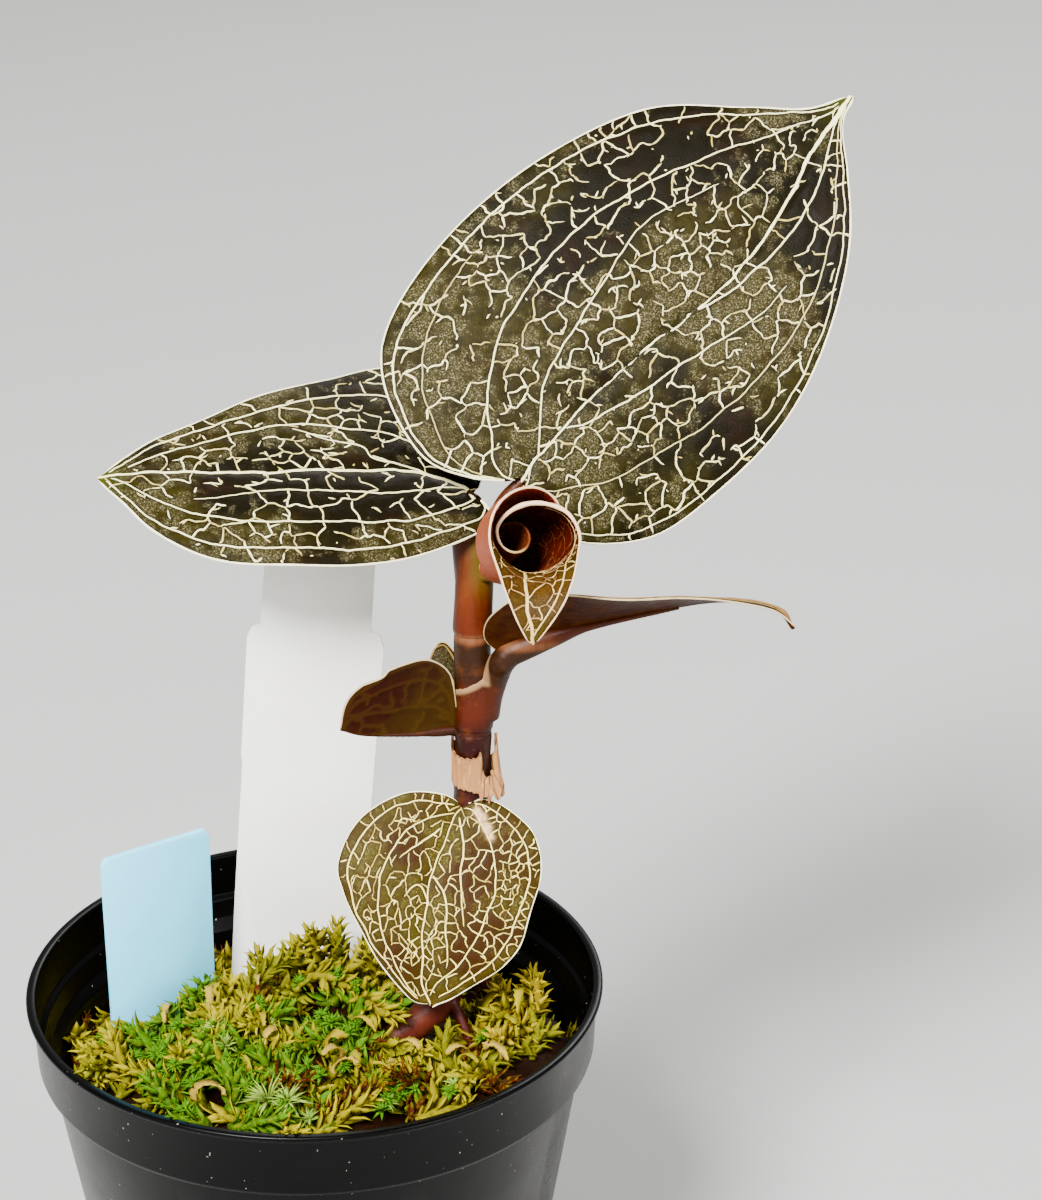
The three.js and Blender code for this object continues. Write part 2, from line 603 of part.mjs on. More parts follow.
for (let k = 0; k < SLIT_COUNT; k += 1) {
  const slit = new THREE.BoxGeometry(5.5, SLIT_WIDTH, 6.5);
  slit.translate(POT_BASE_RADIUS - 0.6, 0, 2.6);
  slit.rotateZ(((k + 0.5) * 2 * Math.PI) / SLIT_COUNT);
  pot = pot.subtract(solid(slit));
}

// ---------------------------------------------------------------- moss

// The lumpy top of the moss. It is highest along a bowed crest across the
// middle, falls away behind it, and is hollow round the stem.
function mossHeight(x, y) {
  const edge = -3.2 - (1.2 * y + 0.4 * x) / POT_RIM_RADIUS;
  const mound = 5.8 * Math.exp(-((x - 1) ** 2 + (y + 3) ** 2) / 300);
  const right = 4 * Math.exp(-((x - 28) ** 2 + (y + 9) ** 2) / 50);
  const hollow = -4 * Math.exp(-((x - 15) ** 2 + (y + 8.5) ** 2) / 60);
  const crest = -1 - (x < 3 ? 0.018 : 0.0125) * (x - 3) ** 2;
  const behind = -11 * THREE.MathUtils.smoothstep(y - crest, -1, 13);
  const lumps = 0.8 * Math.sin(0.33 * x + 1) * Math.cos(0.29 * y) + 0.5 * Math.sin(0.7 * x - 0.5 * y);
  return POT_HEIGHT + edge + mound + right + hollow + behind + lumps;
}

const MOSS_FLOOR = 1.8;
function mossCore() {
  const turns = 32;
  const shares = [1, 0.88, 0.74, 0.59, 0.43, 0.26];
  const rows = [];
  for (let k = 0; k < turns; k += 1) {
    const angle = (2 * Math.PI * k) / turns;
    const c = MOSS_RADIUS * Math.cos(angle);
    const s = MOSS_RADIUS * Math.sin(angle);
    const column = [[c, s, MOSS_FLOOR]];
    shares.forEach((share) => column.push([share * c, share * s, mossHeight(share * c, share * s)]));
    rows.push(column);
  }
  const depth = rows[0].length;
  const positions = rows.flat(2);
  positions.push(0, 0, MOSS_FLOOR, 0, 0, mossHeight(0, 0));
  const bottom = turns * depth;
  const triangles = [];
  for (let k = 0; k < turns; k += 1) {
    const next = (k + 1) % turns;
    for (let i = 0; i < depth - 1; i += 1) {
      const a = k * depth + i;
      const b = next * depth + i;
      triangles.push(a, b, b + 1, a, b + 1, a + 1);
    }
    triangles.push(bottom, next * depth, k * depth);
    triangles.push(bottom + 1, k * depth + depth - 1, next * depth + depth - 1);
  }
  return solid(closedGeometry(positions, triangles));
}

function mossStrand(random) {
  const spread = 34.5 * Math.sqrt(random());
  const place = 2 * Math.PI * random();
  const x = spread * Math.cos(place);
  const y = spread * Math.sin(place);
  const heading = place + Math.PI + (random() - 0.5) * 4.4;
  const length = mix(7, 13, random());
  const rise = mix(0.15, 0.75, random());
  const droop = mix(-0.2, 0.5, random());
  const sway = (random() - 0.5) * 1.2;
  const points = [];
  for (let i = 0; i <= 3; i += 1) {
    const share = i / 3;
    const turn = heading + sway * share;
    const run = length * share;
    const px = x + run * Math.cos(turn) * Math.cos(rise);
    const py = y + run * Math.sin(turn) * Math.cos(rise);
    const lift = -1.6 + run * Math.sin(rise) - droop * length * share * share * 0.6;
    points.push([px, py, mix(mossHeight(x, y), mossHeight(px, py), 0.6) + lift]);
  }
  const thick = mix(1.1, 1.7, random());
  return tube(points, [[0, thick], [0.6, thick * 0.95], [1, thick * 0.35]], 2, 3, random() * 2);
}

// The room inside the pot that the moss may fill.
const mossRoom = lathe([
  [0, MOSS_FLOOR], [24.3, MOSS_FLOOR], [33, 54.2], [MOSS_RADIUS, 56.5], [34.7, 58.3], [35.7, 59.2],
  [35.8, 95], [0, 95],
], 48);
const random = seeded(MOSS_SEED);
const strands = Array.from({ length: MOSS_STRANDS }, () => mossStrand(random));
const stemHole = join(
  turnedSleeve((share) => stemWidth(share) + 0.45, STEM_FOOT, STEM_SHOULDER, 11),
  turnedSleeve(2.8, STEM_FOOT - 0.7, 54, 1),
);
const moss = largest([
  stemHole,
  ...ROOTS.map((root) => rootTube(root, 0.35)),
  labelSolid(WHITE_LABEL, GAP),
  labelSolid(BLUE_LABEL, GAP),
].reduce((whole, hole) => whole.subtract(hole), join(mossCore(), ...strands).intersect(mossRoom)));

// ---------------------------------------------------------------- scene

const material = (color, roughness) => new THREE.MeshStandardMaterial({ color, roughness, metalness: 0 });
const plant = new THREE.Group();

function add(name, body, look) {
  const mesh = body.getMesh();
  const geometry = new THREE.BufferGeometry();
  geometry.setAttribute('position', new THREE.BufferAttribute(mesh.vertProperties, 3));
  geometry.setIndex(new THREE.BufferAttribute(mesh.triVerts, 1));
  geometry.computeVertexNormals();
  const item = new THREE.Mesh(geometry, look);
  item.name = name;
  plant.add(item);
}

add('pot', pot, material(0x0b0b0c, 0.25));
add('moss_bed', moss, material(0x8f8a2a, 0.85));
add('stem', stem, material(0x6b2a1c, 0.45));
add('leaf_big', leafBig, material(0x3c3a20, 0.4));
add('leaf_left', leafLeft, material(0x3a3b1f, 0.4));
add('leaf_rolled', leafRolled, material(0xb5715a, 0.45));
add('leaf_right', leafRight, material(0x5a3120, 0.45));
add('leaf_fold', leafFold, material(0x4b3320, 0.45));
add('leaf_round', leafRound, material(0x6d6430, 0.45));
add('dry_sheath', drySheath, material(0xc79a7c, 0.8));
add('label_white', labelSolid(WHITE_LABEL), material(0xf2eee4, 0.5));
add('label_blue', labelSolid(BLUE_LABEL), material(0xa9d3e6, 0.5));

export default plant;
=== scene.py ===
# A jewel orchid in a small black pot of sphagnum moss, with two bare plant labels.
# Shapes are worked out in millimetres in the frame's own axes, and written in metres.
import math

import bmesh
import bpy
import numpy as np
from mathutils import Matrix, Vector, kdtree, noise
from mathutils.geometry import delaunay_2d_cdt


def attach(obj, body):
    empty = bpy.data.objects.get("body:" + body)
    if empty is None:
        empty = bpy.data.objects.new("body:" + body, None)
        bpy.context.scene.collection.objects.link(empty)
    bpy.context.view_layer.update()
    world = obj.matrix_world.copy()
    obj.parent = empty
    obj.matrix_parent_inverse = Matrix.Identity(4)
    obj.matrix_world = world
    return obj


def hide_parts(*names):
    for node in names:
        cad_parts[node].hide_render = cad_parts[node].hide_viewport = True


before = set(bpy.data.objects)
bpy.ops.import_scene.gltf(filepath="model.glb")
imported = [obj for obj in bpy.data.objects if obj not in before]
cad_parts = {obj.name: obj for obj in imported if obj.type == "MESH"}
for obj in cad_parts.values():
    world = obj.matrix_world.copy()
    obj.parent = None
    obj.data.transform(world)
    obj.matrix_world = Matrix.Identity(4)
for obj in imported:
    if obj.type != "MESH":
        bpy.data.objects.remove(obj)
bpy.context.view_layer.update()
millimetre = 0.001


# Lines and numbers

def unit(vectors):
    return vectors / np.maximum(np.linalg.norm(vectors, axis=-1, keepdims=True), 1e-9)


def blend(a, b, share):
    return a + (b - a) * share


def smooth(value, low, high):
    share = np.clip((value - low) / (high - low), 0, 1)
    return share * share * (3 - 2 * share)


# a smooth line through evenly spaced rows of numbers, share from 0 to 1
def through(rows, share):
    rows = np.asarray(rows, float)
    last = len(rows) - 1
    place = np.clip(np.asarray(share, float), 0, 1) * last
    i = np.minimum(place.astype(int), last - 1)
    f = (place - i)[..., None]
    wide = np.vstack([2 * rows[0] - rows[1], rows, 2 * rows[-1] - rows[-2]])
    a, b, c, d = wide[i], wide[i + 1], wide[i + 2], wide[i + 3]
    bend = (2 * a - 5 * b + 4 * c - d) * f ** 2 + (3 * b - a - 3 * c + d) * f ** 3
    return 0.5 * (2 * b + (c - a) * f + bend)


# a smooth value from (place, value) pairs that never overshoots them
def ramp(pairs, place):
    x, y = np.array(pairs, float).T
    rise = np.diff(y) / np.diff(x)
    slope = np.concatenate([rise[:1], np.zeros(len(x) - 2), rise[-1:]])
    for k in range(1, len(x) - 1):
        if rise[k - 1] * rise[k] > 0:
            slope[k] = 2 * rise[k - 1] * rise[k] / (rise[k - 1] + rise[k])
    place = np.clip(np.asarray(place, float), x[0], x[-1])
    i = np.clip(np.searchsorted(x, place, side="right") - 1, 0, len(x) - 2)
    h = x[i + 1] - x[i]
    f = (place - x[i]) / h
    held = y[i] * (1 + 2 * f) * (1 - f) ** 2 + slope[i] * h * f * (1 - f) ** 2
    return held + y[i + 1] * f * f * (3 - 2 * f) + slope[i + 1] * h * f * f * (f - 1)


def circle(sides):
    return np.linspace(0, 2 * math.pi, sides + 1)[:-1]


# smooth noise from -1 to 1 at places given in millimetres
def wobble(places, size, seed=0.0):
    shift = Vector((seed * 7.3, seed * 3.1, seed * 5.7))
    flat = np.asarray(places, float).reshape(-1, 3) / size
    values = [noise.noise(Vector(p) + shift) for p in flat]
    return np.array(values).reshape(np.asarray(places).shape[:-1])


# the line of a leaf or stem in even steps, with its frame on the way
class Line:
    def __init__(self, points, ups, steps=400):
        fine = through(points, np.linspace(0, 1, steps * 3 + 1))
        run = np.concatenate([[0], np.cumsum(np.linalg.norm(np.diff(fine, axis=0), axis=1))])
        even = np.linspace(0, run[-1], steps + 1)
        self.length = run[-1]
        self.steps = steps
        self.points = np.stack([np.interp(even, run, fine[:, k]) for k in range(3)], -1)
        self.alongs = unit(np.gradient(self.points, axis=0))
        self.ups = through(ups, np.linspace(0, 1, steps + 1))

    # point, direction, up and left at a distance along the line
    def at(self, distance):
        distance = np.asarray(distance, float)
        inside = np.clip(distance, 0, self.length)
        place = inside / self.length * self.steps
        i = np.minimum(place.astype(int), self.steps - 1)
        f = (place - i)[..., None]
        along = unit(blend(self.alongs[i], self.alongs[i + 1], f))
        point = blend(self.points[i], self.points[i + 1], f) + along * (distance - inside)[..., None]
        up = blend(self.ups[i], self.ups[i + 1], f)
        up = unit(up - along * (up * along).sum(-1, keepdims=True))
        return point, along, up, np.cross(up, along)


# Meshes

# gathers closed shells, with numbers kept at each corner, into one object
class Shells:
    def __init__(self):
        self.points, self.faces, self.marks, self.count = [], [], {}, 0

    def add(self, points, faces, **marks):
        points = np.asarray(points, float).reshape(-1, 3)
        self.points.append(points)
        self.faces.extend([tuple(int(i) + self.count for i in face) for face in faces])
        for name, values in marks.items():
            values = np.broadcast_to(np.asarray(values, float), (len(points),) + np.shape(values)[1:])
            self.marks.setdefault(name, []).append(values)
        self.count += len(points)

    # a closed tube of rings: rings is (steps, sides, 3)
    def tube(self, rings, **marks):
        steps, sides = rings.shape[:2]
        faces = gridFaces(steps, sides, closed=True)
        faces += [tuple(range(sides))[::-1], tuple(range((steps - 1) * sides, steps * sides))]
        self.add(rings, faces, **marks)

    def build(self, name, finish, replaces=(), slot=None):
        mesh = bpy.data.meshes.new(name)
        mesh.from_pydata(np.vstack(self.points) * millimetre, [], self.faces)
        for key, parts in self.marks.items():
            writeMark(mesh, key, np.concatenate(parts))
        mesh.polygons.foreach_set("use_smooth", [True] * len(mesh.polygons))
        faceOutward(mesh)
        mesh.materials.append(finish)
        piece = bpy.data.objects.new(name, mesh)
        bpy.context.scene.collection.objects.link(piece)
        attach(piece, "root")
        if replaces:
            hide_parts(*replaces)
        return piece


def faceOutward(mesh):
    work = bmesh.new()
    work.from_mesh(mesh)
    bmesh.ops.recalc_face_normals(work, faces=work.faces)
    work.to_mesh(mesh)
    work.free()


def gridFaces(rows, columns, closed=False):
    wide = columns if closed else columns - 1
    i, j = np.meshgrid(np.arange(rows - 1), np.arange(wide), indexing="ij")
    a = i * columns + j
    b = i * columns + (j + 1) % columns
    quads = np.stack([a, b, b + columns, a + columns], -1).reshape(-1, 4)
    return [tuple(quad) for quad in quads]


def writeMark(mesh, key, values):
    values = np.asarray(values, float)
    if values.ndim == 1:
        mesh.attributes.new(key, "FLOAT", "POINT").data.foreach_set("value", values)
    else:
        colours = np.ones((len(values), 4))
        colours[:, :3] = values
        mesh.attributes.new(key, "FLOAT_COLOR", "POINT").data.foreach_set("color", colours.ravel())


# applies every modifier of a piece, so that its mesh is final
def applyModifiers(piece):
    graph = bpy.context.evaluated_depsgraph_get()
    mesh = bpy.data.meshes.new_from_object(piece.evaluated_get(graph))
    piece.modifiers.clear()
    piece.data = mesh


# melts overlapping shells into one soft skin, then marks it by place
def fuse(shells, name, finish, marker, voxel=0.21, rounds=2, **settings):
    piece = shells.build(name, finish, **settings)
    remesh = piece.modifiers.new("melt", "REMESH")
    remesh.mode = "VOXEL"
    remesh.voxel_size = voxel * millimetre
    relax = piece.modifiers.new("relax", "SMOOTH")
    relax.factor = 0.5
    relax.iterations = rounds
    applyModifiers(piece)
    piece.data.polygons.foreach_set("use_smooth", [True] * len(piece.data.polygons))
    places = np.empty(len(piece.data.vertices) * 3)
    piece.data.vertices.foreach_get("co", places)
    for key, values in marker(places.reshape(-1, 3) / millimetre).items():
        writeMark(piece.data, key, values)


# Finishes

# a socket that can be used in sums: each sum adds its Math node
class Value:
    def __init__(self, tree, socket):
        self.tree, self.socket = tree, socket

    def math(self, operation, *others):
        node = self.tree.nodes.new("ShaderNodeMath")
        node.operation = operation
        for slot, item in zip(node.inputs, (self, *others)):
            plug(self.tree, slot, item)
        return Value(self.tree, node.outputs[0])

    def __add__(self, other):
        return self.math("ADD", other)

    def __sub__(self, other):
        return self.math("SUBTRACT", other)

    def __rsub__(self, other):
        return (self * -1).math("ADD", other)

    def __mul__(self, other):
        return self.math("MULTIPLY", other)

    __radd__ = __add__
    __rmul__ = __mul__


# sets a socket: colours are given as they look on a screen
def plug(tree, slot, item):
    if isinstance(item, Value):
        tree.links.new(item.socket, slot)
    else:
        slot.default_value = (*screen(*item), 1) if slot.type == "RGBA" else item


# one material: its nodes are added by node(), and its look is set on the shader
class Finish:
    def __init__(self, name):
        self.material = bpy.data.materials.new(name)
        self.material.use_nodes = True
        self.tree = self.material.node_tree
        self.shader = self.tree.nodes["Principled BSDF"]

    def node(self, kind, settings=None, inputs=None, output=0):
        node = self.tree.nodes.new(kind)
        for key, value in (settings or {}).items():
            if key == "stops":
                for k, (place, colour) in enumerate(value):
                    stop = node.color_ramp.elements[k] if k < 2 else node.color_ramp.elements.new(place)
                    stop.position = place
                    stop.color = (*screen(*colour), 1)
            else:
                setattr(node, key, value)
        for key, item in (inputs or {}).items():
            plug(self.tree, node.inputs[key], item)
        return Value(self.tree, node.outputs[output])

    def look(self, **sockets):
        for key, item in sockets.items():
            plug(self.tree, self.shader.inputs[key.replace("_", " ")], item)
        return self.material

    # places on the piece in millimetres, stretched by a share along each axis
    def places(self, stretch=(1, 1, 1)):
        scale = tuple(s / millimetre for s in stretch)
        coords = self.node("ShaderNodeTexCoord", output="Object")
        return self.node("ShaderNodeVectorMath", {"operation": "MULTIPLY"}, {0: coords, 1: scale})

    # noise from 0 to 1 with lumps of a given size in millimetres
    def noise(self, size, detail, rough, stretch=(1, 1, 1)):
        inputs = {"Vector": self.places(stretch), "Scale": 1 / size, "Detail": detail, "Roughness": rough}
        return self.node("ShaderNodeTexNoise", {}, inputs, "Fac")

    # a value's way from low to high, eased and spread over a range
    def between(self, value, low, high, to=(0.0, 1.0)):
        inputs = {"Value": value, "From Min": low, "From Max": high, "To Min": to[0], "To Max": to[1]}
        return self.node("ShaderNodeMapRange", {"interpolation_type": "SMOOTHSTEP"}, inputs)

    def mark(self, key, output="Fac"):
        return self.node("ShaderNodeAttribute", {"attribute_name": key}, output=output)

    def mix(self, share, a, b):
        return self.node("ShaderNodeMix", {"data_type": "RGBA"}, {0: share, 6: a, 7: b}, 2)

    # lays a tint over a colour where a value goes from low to high
    def layer(self, colour, tint, value, low, high, share=1):
        return self.mix(self.between(value, low, high) * share, colour, tint)

    # dents as deep as a number of millimetres
    def bump(self, height, depth, strength):
        inputs = {"Height": height, "Distance": depth * millimetre, "Strength": strength}
        return self.node("ShaderNodeBump", {}, inputs)


# a colour as it looks on a screen, from 0 to 255, in the renderer's terms; all
# but the palest are held lower, for the lights are bright
def screen(red, green, blue):
    shares = np.array([red, green, blue]) / 255
    held = blend(0.77, 1.0, smooth(shares.max(), 0.78, 0.95))
    return tuple(held * np.where(shares <= 0.04045, shares / 12.92, ((shares + 0.055) / 1.055) ** 2.4))


# Leaves

# u is a share of the way from a leaf's base to its tip, and t goes from the
# midrib, 0, to the left edge, 1, or the right edge, -1
def paired(u, t):
    return np.broadcast_arrays(np.asarray(u, float), np.asarray(t, float))


# a blade: between its ends each row holds the midrib, the left edge and the right
# edge as (along, across) in the flat leaf; fold and curl then bend each half up
class Blade:
    def __init__(self, length, axis, ups, rows, fold, curl, wave):
        self.axis = Line(axis, ups)
        self.rows = np.array([(0,) * 6, *rows, (length, 0) * 3], float)
        self.rows[:, ::2] *= self.axis.length / length
        self.fold, self.curl, self.wave = np.radians(fold), np.radians(curl), wave

    # along and across in the flat leaf, in millimetres
    def flat(self, u, t):
        u, t = paired(u, t)
        row = through(self.rows, u)
        edge = np.where((t > 0)[..., None], row[..., 2:4], row[..., 4:6])
        share = np.abs(t)
        along = blend(row[..., 0], edge[..., 0], share)
        across = np.sign(t) * share * np.abs(edge[..., 1] - row[..., 1])
        return np.stack([along, row[..., 1] + across], -1)

    def point(self, u, t):
        u, t = paired(u, t)
        middle = through(self.rows, u)[..., 1]
        flat = self.flat(u, t)
        along, across = flat[..., 0], np.abs(flat[..., 1] - middle)
        place = np.clip(along / self.axis.length, 0, 1)
        half = np.where(t > 0, 0, 2)
        fold = blend(self.fold[half], self.fold[half + 1], place)
        curl = blend(self.curl[half], self.curl[half + 1], place)
        reach = (np.sin(fold) - np.sin(fold - curl * across)) / curl
        ripple = self.wave[0] * np.abs(t) ** 3 * np.sin(self.wave[1] * u + self.wave[2] * np.sign(t))
        lift = (np.cos(fold - curl * across) - np.cos(fold)) / curl + ripple
        point, _, up, left = self.axis.at(along)
        return point + left * (middle + np.sign(t) * reach)[..., None] + up * lift[..., None]


# a young leaf rolled round its length: one half turns in, the other wraps over it
class RolledBlade:
    def __init__(self, axis, ups, radius, innerTurn, outerTurn, innerRadius, innerShift, outerRadius):
        self.axis = Line(axis, ups)
        self.radius, self.turns = radius, (innerTurn, outerTurn)
        self.radii, self.innerShift = (innerRadius, outerRadius), innerShift

    def flat(self, u, t):
        u, t = paired(u, t)
        turn = np.where(t > 0, ramp(self.turns[0], u), ramp(self.turns[1], u))
        return np.stack([u * self.axis.length, t * ramp(self.radius, u) * np.radians(turn) * 0.85], -1)

    def point(self, u, t):
        u, t = paired(u, t)
        inner = t > 0
        width = ramp(self.radius, u)
        turn = np.abs(t) * np.where(inner, ramp(self.turns[0], u), ramp(self.turns[1], u))
        reach = width * np.where(inner, ramp(self.radii[0], turn), ramp(self.radii[1], turn))
        shift = np.where(inner, width * ramp(self.innerShift, turn), 0)
        point, _, up, left = self.axis.at(u * self.axis.length)
        lift = width - reach * np.cos(np.radians(turn))
        side = np.where(inner, 1, -1) * reach * np.sin(np.radians(turn)) - shift
        return point + up * lift[..., None] + left * side[..., None]


def normalAt(blade, u, t):
    step = 2e-3
    du = blade.point(np.minimum(u + step, 1), t) - blade.point(np.maximum(u - step, 0), t)
    dt = blade.point(u, np.minimum(t + step, 1)) - blade.point(u, np.maximum(t - step, -1))
    return unit(np.cross(du, dt))


# nearest distances from places to a cloud of spots, both in the flat leaf
class Nearest:
    def __init__(self, spots):
        self.tree = kdtree.KDTree(len(spots))
        for i, (x, y) in enumerate(spots):
            self.tree.insert((x, y, 0), i)
        self.tree.balance()

    def __call__(self, places):
        found = [self.tree.find((x, y, 0)) for x, y in np.asarray(places).reshape(-1, 2)]
        shape = np.asarray(places).shape[:-1]
        return (np.array([f[2] for f in found]).reshape(shape),
                np.array([f[1] for f in found]).reshape(shape))


def crossed(a, b):
    return a[..., 0] * b[..., 1] - a[..., 1] * b[..., 0]


# finds (u, t) for places in the flat leaf: the nearest of a grid of samples,
# then a few steps towards the place itself
class Locator:
    def __init__(self, blade):
        self.blade = blade
        u, t = np.meshgrid(np.linspace(0.012, 0.995, 240), np.linspace(-1, 1, 121), indexing="ij")
        self.u, self.t = u.ravel(), t.ravel()
        self.nearest = Nearest(blade.flat(self.u, self.t))

    def __call__(self, places):
        _, i = self.nearest(places)
        u, t = self.u[i].copy(), self.t[i].copy()
        step, least, rounds = 1e-3, 1e-3, 5
        for _ in range(rounds):
            here = self.blade.flat(u, t)
            du = (self.blade.flat(u + step, t) - here) / step
            dt = (self.blade.flat(u, t + step) - here) / step
            miss = places - here
            area = crossed(du, dt)
            area = np.where(np.abs(area) < least, least, area)
            u = u + np.clip(crossed(miss, dt) / area, -0.03, 0.03)
            t = t + np.clip(crossed(du, miss) / area, -0.05, 0.05)
            u, t = np.clip(u, 0.004, 0.998), np.clip(t, -1, 1)
        return u, t


# points along a flat line every so many millimetres
def evenly(line, gap):
    line = np.asarray(line, float)
    run = np.concatenate([[0], np.cumsum(np.linalg.norm(np.diff(line, axis=0), axis=1))])
    count = max(int(round(run[-1] / gap)), 2)
    places = np.linspace(0, run[-1], count + 1)
    return np.stack([np.interp(places, run, line[:, k]) for k in range(2)], -1)


# spots for the net's cells: a pair of spots on both sides of a vein makes the
# walls meet it squarely, and the rest are scattered, closer where it is dense
def netSpots(blade, mains, edges, toMain, squeeze, look, dice):
    gap, most, tries = look["cell"], 6000, 14000
    spots, count, pairs = np.empty((most, 2)), 0, {}

    def clear(place, room):
        return count == 0 or np.min(np.sum((spots[:count] - place) ** 2, axis=1)) > room ** 2

    rungs = [(line, look["rungs"]) for line in mains] + [(line, look["edgeRungs"]) for line in edges]
    for line, often in rungs:
        marks = evenly(line, gap * look["rungGap"])
        for place, side in zip(marks, unit(np.gradient(marks, axis=0))):
            aside = np.array([-side[1], side[0]])
            place = place + side * dice.uniform(-0.3, 0.3) * gap
            off = gap * dice.uniform(0.36, 0.52)
            if dice.random() > often:
                continue
            if clear(place + aside * off, gap * 0.6) and clear(place - aside * off, gap * 0.6):
                pairs[count] = count + 1
                spots[count], spots[count + 1] = place + aside * off, place - aside * off
                count += 2
    places = blade.flat(dice.uniform(0.02, 0.99, tries), dice.uniform(-1, 1, tries)) * squeeze
    near, _ = toMain(places)
    dense = smooth(wobble(seeded(places, look), look["patchSize"], 2), -0.35, 0.35)
    for place, away, thick in zip(places, near, dense):
        if away > gap * 0.2 and clear(place, gap * dice.uniform(0.9, 1.1) * blend(*look["spread"], thick)):
            spots[count] = place
            count += 1
    return spots[:count], pairs


# places with a leaf's seed as their third number, so that leaves differ
def seeded(places, look):
    return np.c_[places, np.full(len(places), look["seed"])]


# walls between the cells round spots, each from one triangle's middle to the next
def cellWalls(spots, pairs, shortest, longest):
    corners, _, cells, *_ = delaunay_2d_cdt([Vector(s) for s in spots], [], [], 0, 1e-5)
    corners = np.array([tuple(c) for c in corners])
    a, b, c = (corners[[cell[k] for cell in cells]] for k in range(3))
    ends = ((a, b, c), (b, c, a), (c, a, b))
    twice = 2 * sum(p[:, 0] * (q[:, 1] - r[:, 1]) for p, q, r in ends)
    twice = np.where(np.abs(twice) < 1e-6, 1e-6, twice)
    middleX = sum(np.sum(p * p, axis=1) * (q[:, 1] - r[:, 1]) for p, q, r in ends) / twice
    middleY = sum(np.sum(p * p, axis=1) * (r[:, 0] - q[:, 0]) for p, q, r in ends) / twice
    middles = np.stack([middleX, middleY], -1)
    sides = {}
    for k, cell in enumerate(cells):
        for i in range(3):
            sides.setdefault(tuple(sorted((cell[i], cell[(i + 1) % 3]))), []).append(k)
    walls = []
    for (i, j), both in sorted(sides.items()):
        if len(both) == 2 and pairs.get(i) != j:
            start, end = middles[both[0]], middles[both[1]]
            if shortest < np.linalg.norm(end - start) < longest:
                walls.append((start, end))
    return np.array(walls)


# the net between the main veins as short flat lines: walls round the cells, some of
# them missing or broken, with twigs and loose dashes; it is laid out squeezed along
# the leaf, so that its cells come out long
def netLines(blade, mains, edges, look, dice):
    squeeze = np.array([1 / look["stretch"], 1.0])
    mains, edges = [line * squeeze for line in mains], [line * squeeze for line in edges]
    toMain = Nearest(np.vstack(mains + edges))
    spots, pairs = netSpots(blade, mains, edges, toMain, squeeze, look, dice)
    walls = cellWalls(spots, pairs, look["shortest"], look["longest"] * look["cell"])
    centres = walls.mean(axis=1)
    first, second = (toMain(blend(walls[:, 0], walls[:, 1], share))[0] for share in (0.35, 0.65))
    cluster = wobble(seeded(centres, look), look["clump"], 5)
    gone = look["missing"] + look["bare"] * smooth(-cluster, -0.05, 0.3)
    gone += look["mainClear"] * np.exp(-(toMain(centres)[0] / 1.1) ** 2)
    lines = []
    for (start, end), lost, near in zip(walls, gone, np.maximum(first, second)):
        chance = dice.random()
        if near < 0.3 or chance < lost:
            continue
        low, high = 0.0, 1.0
        if chance < lost + look["broken"]:
            if dice.random() < 0.5:
                high = dice.uniform(0.35, 0.85)
            else:
                low = dice.uniform(0.15, 0.65)
        lines.append((blend(start, end, low), blend(start, end, high), low > 0, high < 1))
        if dice.random() < look["twigs"]:
            lines.append(strayLine(blend(start, end, dice.uniform(0.2, 0.8)), (0.35, 0.95), dice, False))
    for k in dice.choice(len(centres), min(look["dashes"], len(centres)), replace=False):
        lines.append(strayLine(centres[k] + dice.normal(0, 0.5, 2), (0.2, 0.6), dice, True))
    return [(start / squeeze, end / squeeze, *free) for start, end, *free in lines]


# a short free vein that starts at a place and goes off anyhow
def strayLine(place, reach, dice, loose):
    turn = dice.uniform(0, 2 * math.pi)
    return place, place + np.array([math.cos(turn), math.sin(turn)]) * dice.uniform(*reach), loose, True


# bends a short flat line like a living vein, the same way at shared ends, and
# holds it still where it meets what is held
def meander(line, look, held=None):
    deep = seeded(line, look)
    coarse = np.stack([wobble(deep, look["swaySize"], k) for k in (1, 9)], -1) * look["sway"]
    fine = np.stack([wobble(deep, 0.7, k) for k in (3, 6)], -1) * look["shake"]
    free = smooth(held(line)[0], 0.0, 1.0)[..., None] if held else 1.0
    return line + (coarse + fine) * free


# raised veins along strokes in the flat leaf; a stroke has a line, its widths, a
# height, a tone and whether each end is free
def addVeins(shells, blade, locate, lift, strokes):
    every = np.vstack([stroke["line"] for stroke in strokes])
    u, t = locate(every)
    normals = normalAt(blade, u, t)
    spines = blade.point(u, t) + normals * lift(every)[:, None]
    inside = np.abs(t) < 0.995
    first = 0
    for stroke in strokes:
        count = len(stroke["line"])
        kept = np.arange(first, first + count)[inside[first:first + count]]
        widths = np.broadcast_to(stroke["width"], (count,))[inside[first:first + count]]
        first += count
        if len(kept) < 3:
            continue
        spine, normal = spines[kept], normals[kept]
        across = np.cross(normal, unit(np.gradient(spine, axis=0)))
        share = np.linspace(0, 1, len(kept))
        wide = widths * 0.5
        for free, way in zip(stroke["free"], (share, 1 - share)):
            if free:
                wide = wide * (0.4 + 0.6 * smooth(way, 0, 0.4))
        wide[[0, -1]] *= 0.6
        shape = [(-1, -0.25), (-0.62, 0.62), (0, 1), (0.62, 0.62), (1, -0.25), (0, -0.9)]
        tall = (stroke["height"] * wide / wide.max())[:, None]
        rings = [spine + across * wide[:, None] * x + normal * tall * y for x, y in shape]
        shells.tube(np.stack(rings, 1), tone=stroke["tone"])


# soft round spots on the flat leaf, given as (u, t, size, strength)
def spotted(blade, flat, spots):
    total = np.zeros(flat.shape[:-1])
    for u, t, size, strength in spots:
        total += strength * np.exp(-np.sum((flat - blade.flat(u, t)) ** 2, axis=-1) / size ** 2)
    return total


